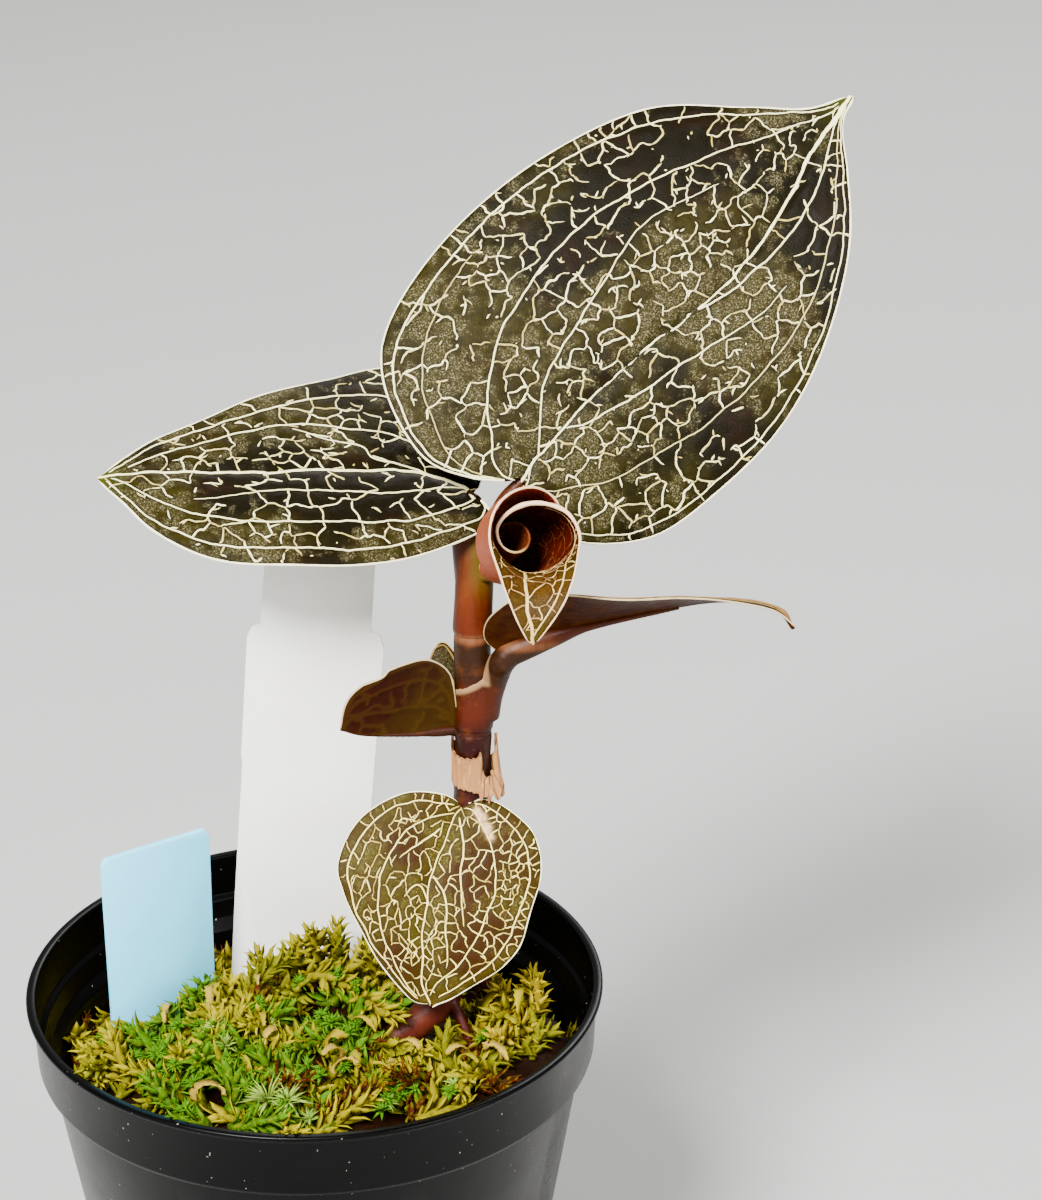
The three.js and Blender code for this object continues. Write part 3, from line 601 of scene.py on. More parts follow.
# strokes of the fine net, and then of the main veins
def veinStrokes(blade, mains, edges, look, dice):
    held = Nearest(np.vstack(mains + edges))
    strokes = []
    for start, end, freeStart, freeEnd in netLines(blade, mains, edges, look, dice):
        count = max(int(np.linalg.norm(end - start) / look["step"]), 3)
        line = meander(blend(start, end, np.linspace(0, 1, count + 1)[:, None]), look, held)
        width = look["netWidth"] * (1 + 0.5 * wobble(np.c_[line, np.zeros(len(line))], 0.55, 2))
        reach = smooth(line.mean(axis=0)[0] / blade.axis.length, *look["fade"])
        width = width * dice.uniform(0.78, 1.18)
        strokes.append({"line": line, "width": width, "height": look["netHeight"],
                        "tone": dice.uniform(0.7, 1) - 0.4 * (1 - reach), "free": (freeStart, freeEnd)})
    for line, (widths, tone, _) in zip(mains, look["veins"]):
        width = ramp(widths, np.linspace(0, 1, len(line)))
        width = width * (1 + 0.22 * wobble(np.c_[line, np.ones(len(line))], 0.9, 4))
        strokes.append({"line": line, "width": width, "height": look["mainHeight"], "tone": tone,
                        "free": (False, False)})
    return strokes


# dresses a blade: the lamina with its swellings between veins, and the veins
def dressLeaf(name, node, blade, look, skin, veinSkin, slot):
    print("leaf", name)
    gap, thickness = 0.4, look["thickness"]
    mains = [evenly(blade.flat(*through(np.array(path), np.linspace(0, 1, 90)).T), gap)
             for *_, path in look["veins"]]
    mains = [meander(line, {**look, "sway": 0.25, "shake": 0.08, "swaySize": 2.8}) for line in mains]
    edges = [evenly(blade.flat(np.linspace(0.02, 0.985, 160), side), gap) for side in (1.0, -1.0)]
    strokes = veinStrokes(blade, mains, edges, look, np.random.default_rng(look["seed"]))
    toVein = Nearest(np.vstack([stroke["line"] for stroke in strokes] + edges))
    toMain = Nearest(np.vstack(mains[:look["grooves"]]))

    def relief(places):
        swell = smooth(toVein(places)[0], 0.05, 1.1) * look["swell"]
        return swell - look["groove"] * np.exp(-(toMain(places)[0] / look["grooveWidth"]) ** 2)

    uCount, tCount = look["grid"]
    u, t = np.meshgrid(np.linspace(look["from"], look["to"], uCount + 1), np.linspace(-1, 1, tCount + 1),
                       indexing="ij")
    flat = blade.flat(u, t)
    normal = normalAt(blade, u, t)
    middle = blade.point(u, t) + normal * relief(flat)[..., None]
    half = normal * (thickness / 2 * (1 - 0.5 * np.abs(t) ** 8))[..., None]
    marks = {
        "open": smooth(toVein(flat)[0], 0.08, 0.5), "groove": np.exp(-(toMain(flat)[0] / 1.4) ** 2),
        "sheenAndShade": spotted(blade, flat, look["sheenAndShadePatches"]), "tip": np.exp(-((1 - u) / 0.07) ** 2),
        "blush": np.clip(spotted(blade, flat, look["blushes"]), 0, 1),
    }
    marks = {key: np.tile(values.ravel(), 2) for key, values in marks.items()}
    lamina = Shells()
    lamina.add(np.stack([middle + half, middle - half]), twoSided(uCount + 1, tCount + 1),
               upper=np.repeat([1.0, 0.0], u.size), **marks)
    lamina.build(name + "Lamina", skin, replaces=(node,), slot=slot)

    veins = Shells()
    addVeins(veins, blade, Locator(blade), lambda places: relief(places) + thickness / 2, strokes)
    addMargin(veins, blade, look, relief)
    veins.build(name + "Veins", veinSkin, slot=slot)


# faces of a closed sheet whose points are one grid and then the same grid below
def twoSided(rows, columns):
    faces = gridFaces(rows, columns)
    low = rows * columns
    faces += [tuple(int(i) + low for i in face[::-1]) for face in faces]
    ring = list(range(columns - 1)) + [columns - 1 + k * columns for k in range(rows - 1)]
    ring += [low - 1 - k for k in range(columns - 1)] + [(rows - 1 - k) * columns for k in range(rows - 1)]
    ring += ring[:1]
    return faces + [(a, b, b + low, a + low) for a, b in zip(ring, ring[1:])]


# the pale rounded rim round the blade's edge, partly the leaf's own pale margin and partly painted rim
# light
def addMargin(shells, blade, look, relief):
    u = np.linspace(look["from"], look["to"], 260)
    for side in (1.0, -1.0):
        t = np.full(len(u), side)
        normal = normalAt(blade, u, t)
        spine = blade.point(u, t) + normal * relief(blade.flat(u, t))[..., None]
        along = unit(np.gradient(spine, axis=0))
        out = unit(np.cross(along, normal)) * side
        shake = 1 + 0.25 * wobble(spine, 1.1, look["seed"])
        wide = look["rim"] * shake * (0.35 + 0.65 * smooth(1 - np.abs(2 * u - 1), 0, 0.06))
        tone = np.full(len(u), 1.1)
        if side == 1:
            place, spread, more = look["rimSwell"]
            wide = wide * (1 + more * np.exp(-((u - place) / spread) ** 2))
            tone -= 0.5 * smooth(u, place - 1.6 * spread, place - 3 * spread)
        rings = np.stack([spine + (out * math.cos(a) * 0.8 + normal * math.sin(a)) * wide[:, None]
                          for a in circle(8)], 1)
        shells.tube(rings, tone=np.repeat(tone, 8))


# Where the leaves lie and how they bend, as the solids have them

bigBlade = Blade(
    length=66,
    axis=[(26.7, 3, 133.1), (48.6, 16, 151.9), (68.6, 33, 173.8)],
    ups=[(-0.05, -0.84, 0.54), (-0.1, -0.8, 0.58)],
    rows=[
        (2.5, 0.5, -4, 5, -1.5, -6.5), (5.5, 0.5, -6, 11.5, 1, -11.5),
        (13, 1, -2.5, 21, 8, -16.5), (23, 0.5, 5, 26.5, 17, -18), (33, -1, 19, 29, 27, -18),
        (42, -1.5, 35.5, 27, 37.5, -15.5), (50, -1, 49.5, 20.5, 48.5, -11), (57.5, 0, 57, 10, 56.5, -5.5),
        (62, 0, 61, 3.5, 61.5, -1.5),
    ],
    fold=(10, 6, -14, 8), curl=(0.6, 0.5, 0.6, 0.5), wave=(0.35, 21, 1.2),
)
leftBlade = Blade(
    length=47,
    axis=[(21, 6, 129.8), (-0.2, 2, 134.6), (-24.3, -3, 136.1)],
    ups=[(-0.1, -0.44, 0.9), (0.1, -0.42, 0.91)],
    rows=[
        (1, -1.5, -2, 2, -1.5, -6), (3.5, -2.5, -1, 4.5, 1, -9.5),
        (8, -3, 3, 7.5, 5, -15.5), (13.5, -2, 9.5, 10.5, 10.5, -20), (19.5, -1, 18.5, 13, 18, -17),
        (25.5, 0, 27.5, 13.5, 25, -13.5), (31.5, 0, 35, 12, 31.5, -10), (38, -0.5, 41, 8.5, 38.5, -6.5),
        (43, -0.5, 44.5, 3.5, 43, -3),
    ],
    fold=(2, 2, 6, 2), curl=(1.8, 1.6, 0.6, 0.5), wave=(0.3, 24, 1),
)
roundBlade = Blade(
    length=26,
    axis=[(19.5, -2, 91.1), (15.4, -9.5, 81), (15.5, -15, 69.8)],
    ups=[(0, -0.85, 0.5), (0, -0.75, 0.4)],
    rows=[
        (1, -0.5, -1.5, 2, -0.5, -3), (3, -0.5, -1.5, 5, 1, -7.5),
        (6.5, -0.5, 0.5, 9.5, 6, -11.5), (10.5, -0.5, 4, 12, 11, -12.5), (14, 0, 8.5, 12.5, 13.5, -11),
        (17.5, -0.5, 17.5, 12, 16.5, -8.5), (20.5, -0.5, 21.5, 9.5, 20.5, -6), (23, -1, 24, 5, 24, -3.5),
        (24.5, -0.5, 25.5, 2, 25.5, -2),
    ],
    fold=(6, 4, 8, 4), curl=(1, 0.8, 1.2, 1), wave=(0.2, 20, 1),
)
rightBlade = Blade(
    length=40.5,
    axis=[
        (24.1, 0, 111.6), (31.6, -0.5, 114.8), (42.7, -2, 118.1), (51.1, -4, 120.4), (57.5, -7, 120.9),
        (59.8, -9, 118.8),
    ],
    ups=[
        (-0.15, 0.4, 0.9), (-0.12, 0.4, 0.92), (0, 0.38, 0.92), (0.12, 0.37, 0.92), (0.3, 0.3, 0.9),
        (0.6, 0.3, 0.7),
    ],
    rows=[
        (1, 0, -0.5, 3.5, -0.5, -3.4), (3, 0, 0.5, 8, 1.8, -7.6),
        (7, 0, 4, 11, 4.8, -10.5), (12, 0, 9, 12, 8.5, -12), (18, 0, 16.5, 12, 16, -12),
        (24, 0, 24, 10.5, 23.5, -10.5), (30, 0, 30.5, 7.5, 30, -7.5), (35, 0, 35.5, 4, 35, -4),
        (38.5, 0, 39, 1.5, 38.5, -1.5),
    ],
    fold=(24, -6, 38, -12), curl=(0.6, 0.6, 0.8, 0.8), wave=(0.25, 22, 1),
)
foldBlade = Blade(
    length=17,
    axis=[(18.7, 1, 100.6), (12.3, -2, 101.2), (7.3, -5, 102.6), (4.5, -6.6, 104.1)],
    ups=[(0, 0, 1), (0, 0, 1), (-0.1, 0, 0.9)],
    rows=[
        (0.8, 0, 0.5, 3.4, -1, -4), (2, 0, 1.8, 8, -1.5, -8.6),
        (4.5, 0, 4.7, 10.4, 0.6, -11), (7.5, 0, 8.2, 10.8, 4, -6.4), (11, 0, 12, 9.9, 8.5, -3.8),
        (13.5, 0, 15, 8.5, 12, -2.6), (15.3, 0, 17.2, 6.2, 14.6, -1.6), (16.3, 0, 18, 3.6, 16.2, -0.8),
    ],
    fold=(88, 80, 64, 44), curl=(0.5, 0.8, 0.8, 1), wave=(0, 1, 0),
)
rolledBlade = RolledBlade(
    axis=[
        (22.8, 2, 120.8), (25.7, -3, 122.3), (27.9, -10, 126.4), (28.4, -15, 128.2), (28.4, -18.5, 127.6),
        (28.2, -20.5, 125), (28.1, -21, 122.1),
    ],
    ups=[(0, 0.1, 1), (0, 0.2, 1), (0, 0.35, 0.92), (0, 0.3, 0.92), (0, -0.75, 0.6), (0, -0.9, 0.3)],
    radius=[(0, 1.2), (0.12, 2.7), (0.28, 4.7), (0.42, 4.95), (0.6, 5.15), (0.8, 7.3), (1, 10)],
    innerTurn=[
        (0, 60), (0.08, 150), (0.2, 400), (0.3, 560), (0.37, 520), (0.43, 410), (0.48, 310), (0.53, 215),
        (0.59, 120), (0.66, 66), (0.8, 32), (0.92, 12), (1, 1),
    ],
    outerTurn=[
        (0, 60), (0.08, 150), (0.2, 235), (0.35, 240), (0.46, 238), (0.53, 190), (0.6, 110), (0.68, 56),
        (0.8, 28), (0.92, 10), (1, 1),
    ],
    innerRadius=[
        (0, 1), (40, 1.02), (75, 1.04), (110, 0.92), (150, 0.72), (190, 0.62), (250, 0.53), (360, 0.46),
        (460, 0.42), (560, 0.4),
    ],
    innerShift=[(0, 0), (110, 0), (190, 0.12), (270, 0.3), (560, 0.3)],
    outerRadius=[(0, 1), (45, 1), (90, 1), (135, 1.02), (180, 1.03), (215, 0.99), (240, 0.92)],
)


# Finishes of the leaves

# green-brown velvet skin between pale veins, with painted sheen and glints, and painted shade beside the
# veins and along the midrib's groove
def leafFinish(name, look):
    skin = Finish(name)
    # a mark laid in spots: painted sheen where it is above 0, painted shade where it is below
    sheenAndShade, opened = skin.mark("sheenAndShade"), skin.mark("open")
    grain = skin.noise(0.2, 2, 0.7)
    cloud = skin.noise(look["cloudSize"], 3, 0.6)
    paintedSheenMask = skin.between(cloud + sheenAndShade * 0.3, 0.46, 0.62)
    colour = skin.layer(look["dark"], look["olive"], skin.noise(11, 2, 0.5) + sheenAndShade * 0.5, 0.3, 0.62)
    colour = skin.layer(colour, look["brown"], skin.noise(7, 3, 0.6), 0.52, 0.66, look["brownShare"])
    colour = skin.layer(colour, look["shade"], skin.noise(0.9, 3, 0.6), 0.35, 0.7, 0.5)
    # painted highlights: a grey-olive sheen and silver glints over the grain, strongest in the cloud's
    # bright patches
    colour = skin.layer(colour, look["sheenTint"], grain, 0.36, 0.56, paintedSheenMask * look["paintedSheen"])
    colour = skin.layer(colour, look["glintTint"], grain, 0.54, 0.66, paintedSheenMask * look["paintedGlints"])
    # painted shade: the skin is darkened close beside each vein
    colour = skin.layer(colour, look["shade"], opened, 1, 0, look["outline"])
    colour = skin.mix(skin.mark("groove") * look["grooveShade"], colour, look["shade"])
    colour = skin.mix(skin.mark("tip") * 0.6, colour, look["tipColour"])
    blush = skin.mark("blush") * skin.between(cloud, 0.2, 0.5, to=(0.75, 1.0))
    colour = skin.mix(blush, colour, look["blush"])
    under = skin.layer(look["under"], look["underPale"], cloud + sheenAndShade * 0.4, 0.3, 0.7)
    under = skin.layer(under, look["underVein"], opened, 0.9, 0.1, look["underNet"])
    return skin.look(
        Base_Color=skin.mix(skin.mark("upper"), under, colour), Specular_IOR_Level=look["gloss"],
        Roughness=skin.between(cloud, 0.3, 0.7, to=look["rough"]),
        Normal=skin.bump(grain, 0.1, look["pores"]))


def veinFinish(name, look):
    skin = Finish(name)
    tone = skin.mark("tone")
    colour = skin.layer(look["pale"], look["warm"], skin.noise(1.6, 3, 0.6), 0.4, 0.7, 0.5)
    colour = skin.layer(colour, look["faint"], tone, 1, 0.65)
    # the palest tint goes on the edge rim only, partly painted rim light
    colour = skin.layer(colour, look["rim"], tone, 1.03, 1.08)
    return skin.look(Base_Color=colour, Roughness=0.45, Specular_IOR_Level=0.3,
                     Normal=skin.bump(skin.noise(0.2, 2, 0.5), 0.05, 0.6))


# settings of each leaf, with lengths in millimetres: a vein has its widths by share
# of its way, a tone and a path of (u, t); a patch, painted sheen where its strength is
# above 0 and painted shade where below, and a blush are each (u, t, size, strength)
slim = [(0.0, 0.18), (0.5, 0.22), (0.8, 0.26), (1.0, 0.26)]
midrib = [(0.0, 0.9), (0.12, 0.62), (0.6, 0.5), (0.9, 0.45), (1.0, 0.4)]
side = [(0.0, 0.26), (0.5, 0.27), (1.0, 0.2)]
thin = [(0.0, 0.16), (0.5, 0.21), (1.0, 0.16)]
fading = [(0.0, 0.24), (0.4, 0.25), (1.0, 0.12)]
tipward = [(0.0, 0.42), (0.1, 0.36), (0.6, 0.42), (0.86, 0.7), (0.96, 0.95), (1.0, 0.6)]

bigLook = {
    "seed": 3, "cell": 2.1, "stretch": 1.25, "rungGap": 1.1, "rungs": 0.4, "edgeRungs": 0.8,
    "spread": (0.6, 1.25), "patchSize": 6.5, "missing": 0.06, "bare": 0.42, "clump": 4.5,
    "mainClear": 0.25, "broken": 0.13, "twigs": 0.34, "dashes": 90, "step": 0.24, "sway": 0.7,
    "swaySize": 1.9, "shake": 0.2, "shortest": 0.12, "longest": 2.4, "grooves": 1, "netWidth": 0.25,
    "netHeight": 0.08, "mainHeight": 0.11, "rim": 0.17, "swell": 0.12, "groove": 0.3,
    "grooveWidth": 0.9, "thickness": 0.42, "grid": (140, 108), "from": 0.03, "to": 0.994,
    "fade": (-1, 0), "rimSwell": (-9, 1, 0), "blushes": [],
    # painted sheen where the strength is above 0, painted shade where it is below
    "sheenAndShadePatches": [
        (0.49, 0.95, 5, 0.15), (0.41, 0.85, 5, 0.15), (0.22, 0.55, 6, 0.1), (0.25, -0.22, 5, 0.8),
        (0.55, -0.32, 6, 0.5), (0.49, 0.08, 4, 0.8), (0.46, -0.37, 5, 0.5), (0.32, 0.73, 5, 0.4),
        (0.64, 0.69, 6, -1.2), (0.57, 0.6, 5, -0.9), (0.51, 0.62, 4, -0.7), (0.42, -0.25, 3.5, -0.5),
        (0.43, -0.78, 5, -0.7), (0.72, -0.53, 5, -0.6), (0.69, 0.71, 5, -0.8), (0.7, -0.93, 6, -0.8),
    ],
    "veins": [
        (tipward, 1, [(0.0, 0), (0.33, 0.015), (0.66, -0.01), (1, 0)]),
        (fading, 1, [(0.16, 0), (0.25, 0.16), (0.33, 0.27), (0.41, 0.32), (0.49, 0.38), (0.57, 0.44),
            (0.61, 0.4), (0.66, 0.33)]),
        (side, 1, [(0.02, 0.6), (0.12, 0.5), (0.2, 0.43), (0.29, 0.49), (0.35, 0.53), (0.4, 0.57),
            (0.49, 0.61), (0.54, 0.62), (0.61, 0.58), (0.7, 0.48), (0.77, 0.42), (0.86, 0.4), (0.95, 0.3)]),
        (thin, 0.75, [(0.04, 0.9), (0.12, 0.82), (0.22, 0.79), (0.3, 0.81), (0.38, 0.84), (0.47, 0.87)]),
        (side, 1, [(0.05, 0.93), (0.2, 0.95), (0.3, 0.95), (0.42, 0.93), (0.54, 0.93), (0.62, 0.92),
            (0.68, 0.88), (0.77, 0.82), (0.88, 0.74), (0.96, 0.6)]),
        (fading, 1, [(0.25, 0), (0.29, -0.1), (0.37, -0.18), (0.44, -0.22), (0.5, -0.28), (0.55, -0.36),
            (0.6, -0.43)]),
        (side, 1, [(0.48, 0), (0.52, -0.06), (0.56, -0.1), (0.62, -0.17), (0.69, -0.28), (0.76, -0.36),
            (0.85, -0.35), (0.93, -0.2)]),
        (thin, 0.8, [(0.03, -0.5), (0.12, -0.4), (0.21, -0.43), (0.27, -0.52), (0.35, -0.55), (0.41, -0.61),
            (0.5, -0.64), (0.6, -0.7), (0.7, -0.72), (0.8, -0.68), (0.9, -0.6), (0.97, -0.4)]),
        (thin, 1, [(0.05, -0.9), (0.18, -0.9), (0.26, -0.93), (0.4, -0.94), (0.52, -0.94), (0.61, -0.93),
            (0.69, -0.9), (0.8, -0.86), (0.9, -0.8), (0.96, -0.6)]),
    ],
}
leftLook = {
    **bigLook, "seed": 8, "cell": 2.0, "stretch": 1.5, "grid": (116, 84), "netWidth": 0.25, "dashes": 40,
    "sheenAndShadePatches": [
        (0.65, -0.95, 5, 0.3), (0.82, 0.63, 4, 0.5), (0.61, 0.78, 4, 0.6), (0.43, 0.88, 4, 0.6),
        (0.31, 0.8, 4, 0.5), (0.49, -0.4, 4, 0.3), (0.5, 0.42, 8, -0.5), (0.68, 0.2, 3, -1.2),
        (0.54, 0.2, 3, -1.3), (0.41, 0.24, 3.5, -1.3), (0.26, 0.3, 3.5, -1.3), (0.15, 0.35, 3, -1.0),
        (0.49, -0.79, 4, -0.6), (0.41, -0.3, 4, -0.5),
    ],
    "veins": [
        (midrib, 1, [(0.0, 0), (0.33, 0.01), (0.66, -0.01), (1, 0)]),
        (side, 1, [(0.1, 0.35), (0.19, 0.52), (0.31, 0.62), (0.39, 0.62), (0.5, 0.58), (0.66, 0.58),
            (0.77, 0.57), (0.87, 0.5), (0.95, 0.3)]),
        (fading, 1, [(0.13, 0.1), (0.23, 0.22), (0.32, 0.31), (0.4, 0.3), (0.5, 0.26), (0.59, 0.23),
            (0.67, 0.29), (0.74, 0.4)]),
        (side, 1, [(0.08, 0.8), (0.16, 0.81), (0.26, 0.83), (0.41, 0.86), (0.57, 0.84), (0.7, 0.86),
            (0.8, 0.87), (0.88, 0.86), (0.96, 0.6)]),
        (side, 1, [(0.15, -0.25), (0.24, -0.28), (0.36, -0.34), (0.44, -0.36), (0.51, -0.47), (0.6, -0.55),
            (0.7, -0.55), (0.8, -0.5), (0.9, -0.4)]),
        (fading, 1, [(0.25, 0), (0.38, -0.08), (0.42, -0.19), (0.49, -0.29), (0.56, -0.48)]),
        (side, 1, [(0.1, -0.7), (0.25, -0.7), (0.41, -0.7), (0.52, -0.79), (0.62, -0.78), (0.75, -0.8),
            (0.88, -0.75), (0.96, -0.5)]),
    ],
}
roundLook = {
    **bigLook, "seed": 5, "cell": 1.2, "stretch": 1.35, "grid": (88, 88), "netWidth": 0.17,
    "mainHeight": 0.07, "missing": 0.04, "bare": 0.14, "dashes": 4, "broken": 0.07, "mainClear": 0.05,
    "twigs": 0.14, "rim": 0.13, "clump": 3,
    "sheenAndShadePatches": [
        (0.38, -0.63, 3, 0.5), (0.57, -0.07, 3, 0.5), (0.5, 0.68, 3, 0.4), (0.26, -0.08, 3, 0.5),
        (0.33, -0.38, 2.5, -0.8), (0.42, 0.45, 2.5, -0.8), (0.58, 0.75, 2.5, -0.8),
        (0.68, -0.52, 2.5, -0.8), (0.68, 0.53, 2.5, -0.8),
    ],
    "blushes": [
        (0.17, 0.54, 0.4, 1.6), (0.21, 0.55, 0.45, 2), (0.25, 0.55, 0.45, 2), (0.28, 0.55, 0.35, 1.8),
    ],
    "veins": [
        (slim, 1, [(0.03, 0), (0.35, -0.02), (0.7, -0.05), (0.87, -0.12), (1, 0)]),
        (thin, 1, [(0.12, -0.08), (0.21, -0.35), (0.28, -0.47), (0.34, -0.51), (0.45, -0.55), (0.52, -0.61),
            (0.6, -0.65), (0.75, -0.7), (0.88, -0.6)]),
        (thin, 1, [(0.08, -0.4), (0.13, -0.56), (0.22, -0.79), (0.27, -0.85), (0.37, -0.88), (0.49, -0.91),
            (0.64, -0.9), (0.75, -0.82), (0.9, -0.7)]),
        (fading, 1, [(0.23, -0.15), (0.3, -0.26), (0.36, -0.4)]),
        (fading, 1, [(0.16, 0.14), (0.26, 0.21), (0.35, 0.25), (0.42, 0.27), (0.51, 0.31), (0.57, 0.38)]),
        (fading, 1, [(0.38, 0), (0.45, 0.13), (0.53, 0.18), (0.64, 0.25), (0.72, 0.3)]),
        (fading, 1, [(0.48, 0), (0.42, -0.12), (0.47, -0.3)]),
        (thin, 1, [(0.09, 0.3), (0.14, 0.46), (0.25, 0.5), (0.32, 0.55), (0.4, 0.58), (0.49, 0.6),
            (0.55, 0.58), (0.62, 0.51), (0.7, 0.43), (0.83, 0.31), (0.92, 0.2)]),
        (thin, 1, [(0.1, 0.7), (0.15, 0.77), (0.23, 0.82), (0.34, 0.88), (0.49, 0.9), (0.62, 0.84),
            (0.78, 0.77), (0.9, 0.6)]),
    ],
}


# evenly spread long veins, for the leaves that are seen from below
def plainVeins(places):
    shape = ((0.04, 0.5), (0.25, 1), (0.6, 1.02), (0.85, 0.9), (0.97, 0.4))
    veins = [(midrib, 1, [(0.0, 0), (0.5, 0.01), (1, 0)])]
    return veins + [(side, 1, [(u, t * share) for u, share in shape]) for t in places]


rightLook = {
    **bigLook, "seed": 14, "grid": (84, 56), "cell": 2.2, "netWidth": 0.26, "groove": 0.1, "rim": 0.11,
    "sheenAndShadePatches": [], "veins": plainVeins((0.3, 0.6, 0.9, -0.3, -0.6, -0.9)),
}
foldLook = {
    **bigLook, "seed": 17, "grid": (72, 80), "cell": 2.4, "netWidth": 0.24, "groove": 0.05, "swell": 0.1,
    "dashes": 10, "rim": 0.16, "sheenAndShadePatches": [(0.25, 0.08, 6, 1.0), (0.7, 0.6, 6, -0.7), (0.25, -0.7, 7, 1.5)],
    "veins": plainVeins((0.35, 0.7, 0.93, -0.35, -0.7, -0.93)),
}
rolledLook = {
    **bigLook, "seed": 21, "grid": (84, 110), "cell": 1.3, "netWidth": 0.18, "from": 0.0, "to": 0.985,
    "groove": 0.12, "swell": 0.08, "dashes": 40, "netHeight": 0.05, "mainHeight": 0.08, "rim": 0.15,
    "bare": 0.05, "missing": 0.02, "mainClear": 0.0, "rimSwell": (0.56, 0.05, 1.0), "fade": (0.4, 0.6),
    "sheenAndShadePatches": [(0.82, 0, 8, 1.2), (0.5, 0.6, 9, -1.2), (0.35, -0.3, 9, -0.8)],
    "blushes": [(0.36, -0.85, 7, 1.0), (0.22, -0.6, 6, 0.8), (0.3, 0.85, 4, 0.5)],
    "veins": [
        (midrib, 1, [(0.0, 0), (0.5, -0.05), (0.72, -0.22), (0.86, -0.24), (1, 0)]),
        (side, 1, [(0.5, 0.55), (0.68, 0.66), (0.8, 0.7), (0.9, 0.55), (0.97, 0.15)]),
    ],
}

# the dark skin's colours: among them the painted sheen and glints and the painted shade beside the veins
olive = {
    "dark": (13, 9, 0), "olive": (44, 38, 3), "sheenTint": (70, 63, 34),
    "glintTint": (140, 134, 102), "brown": (40, 14, 1), "shade": (18, 14, 0),
    "under": (30, 5, 0), "underPale": (56, 20, 1), "tipColour": (78, 84, 14),
    "underNet": 0.2, "underVein": (70, 44, 6), "blush": (90, 20, 0), "cloudSize": 2.5,
    "paintedSheen": 0.7, "paintedGlints": 0.8, "outline": 0.75, "brownShare": 0.3, "grooveShade": 0.3, "pores": 0.7,
    "rough": (0.36, 0.5), "gloss": 0.05,
}
cream = {
    "pale": (255, 247, 186), "warm": (240, 222, 130), "faint": (190, 166, 76),
    "rim": (255, 248, 200),
}
paleOlive = {
    **olive, "dark": (54, 26, 0), "olive": (68, 60, 4), "sheenTint": (92, 84, 30),
    "glintTint": (160, 150, 90), "brown": (58, 26, 0), "shade": (48, 34, 1),
    "tipColour": (84, 64, 10), "brownShare": 0.25, "paintedSheen": 0.3, "paintedGlints": 0.4, "grooveShade": 0.0,
    "blush": (220, 180, 136),
}
brownSkin = {
    **olive, "dark": (20, 10, 0), "olive": (40, 28, 2), "under": (44, 9, 0),
    "underPale": (68, 32, 1), "paintedGlints": 0.4, "underNet": 0.1,
}
folded = {
    **brownSkin, "under": (42, 9, 0), "underPale": (50, 30, 1), "underNet": 0.28,
    "underVein": (76, 52, 8),
}
young = {
    **olive, "dark": (84, 14, 0), "olive": (62, 44, 4), "sheenTint": (92, 66, 14),
    "glintTint": (140, 104, 40), "brown": (96, 20, 0), "shade": (36, 16, 0),
    "under": (152, 76, 48), "underPale": (172, 96, 64), "paintedSheen": 0.3, "paintedGlints": 0.2,
    "grooveShade": 0.1, "outline": 0.4, "brownShare": 0.15, "blush": (180, 58, 4),
    "tipColour": (70, 66, 16), "underNet": 0.0,
}
gold = {
    "pale": (150, 112, 50), "warm": (130, 84, 28), "faint": (92, 50, 10),
    "rim": (206, 184, 140),
}
peach = {
    "pale": (222, 186, 116), "warm": (196, 150, 78), "faint": (110, 52, 18),
    "rim": (232, 190, 148),
}
straw = {**cream, "pale": (255, 236, 140), "warm": (240, 212, 96), "faint": (190, 156, 56)}


print("leaves")
green = leafFinish("leafGreen", olive)
veinPale = veinFinish("veinCream", cream)
dressLeaf("leafBig", "leaf_big", bigBlade, bigLook, green, veinPale, "leaf")
dressLeaf("leafLeft", "leaf_left", leftBlade, leftLook, green, veinPale, "leaf")
dressLeaf("leafRound", "leaf_round", roundBlade, roundLook, leafFinish("leafPale", paleOlive),
          veinFinish("veinStraw", straw), "pale_leaf")
brownVein = veinFinish("veinGold", gold)
brownish = leafFinish("leafBrown", brownSkin)
dressLeaf("leafRight", "leaf_right", rightBlade, rightLook, brownish, brownVein, "leaf")
dressLeaf("leafFold", "leaf_fold", foldBlade, foldLook, leafFinish("leafFolded", folded), brownVein, "leaf")
dressLeaf("leafRolled", "leaf_rolled", rolledBlade, rolledLook, leafFinish("leafYoung", young),
          veinFinish("veinPeach", peach), "young_leaf")


# The stem with its nodes and roots, and the sheaths and stalks of the leaves

stemLine = Line(
    [(4, -9.5, 52), (9, -9.5, 59.8), (13.6, -8.8, 63.4), (17.2, -7.6, 67.5), (19.1, -4.4, 77),
     (20.3, -0.2, 90), (20.8, 1.5, 100.5), (20.7, 2.3, 112.2), (21, 3.3, 121.5), (20.2, 5.2, 127)],
    [(0, -1, 0.2), (0, -1, 0.1), (0, -1, 0), (0, -1, 0)],
)
stemWidths = [
    (52.5, 1.6), (58, 2.0), (64, 2.15), (70, 2.25), (76.3, 2.35), (77.4, 2.5), (78.4, 2.35), (82.4, 2.3),
    (92, 2.2), (100, 2.3), (112.2, 2.36), (113.6, 2.2), (114.6, 1.2), (116.4, 0.8),
]
roots = [
    ([(17, -8, 68), (19.2, -10.5, 64.8), (20.8, -12.6, 61), (22, -14, 56)], 0.75),
    ([(12, -9, 62), (10, -13, 60.5), (8, -17, 58), (7, -20, 53)], 0.7),
    ([(18.5, -6, 73), (21, -6, 69.5), (22.5, -4.5, 64), (23.5, -3.5, 57)], 0.7),
]


# distance along the stem where it reaches a height
def stemPlace(height):
    run = np.linspace(0, stemLine.length, stemLine.steps + 1)
    return np.interp(height, stemLine.points[:, 2], run)


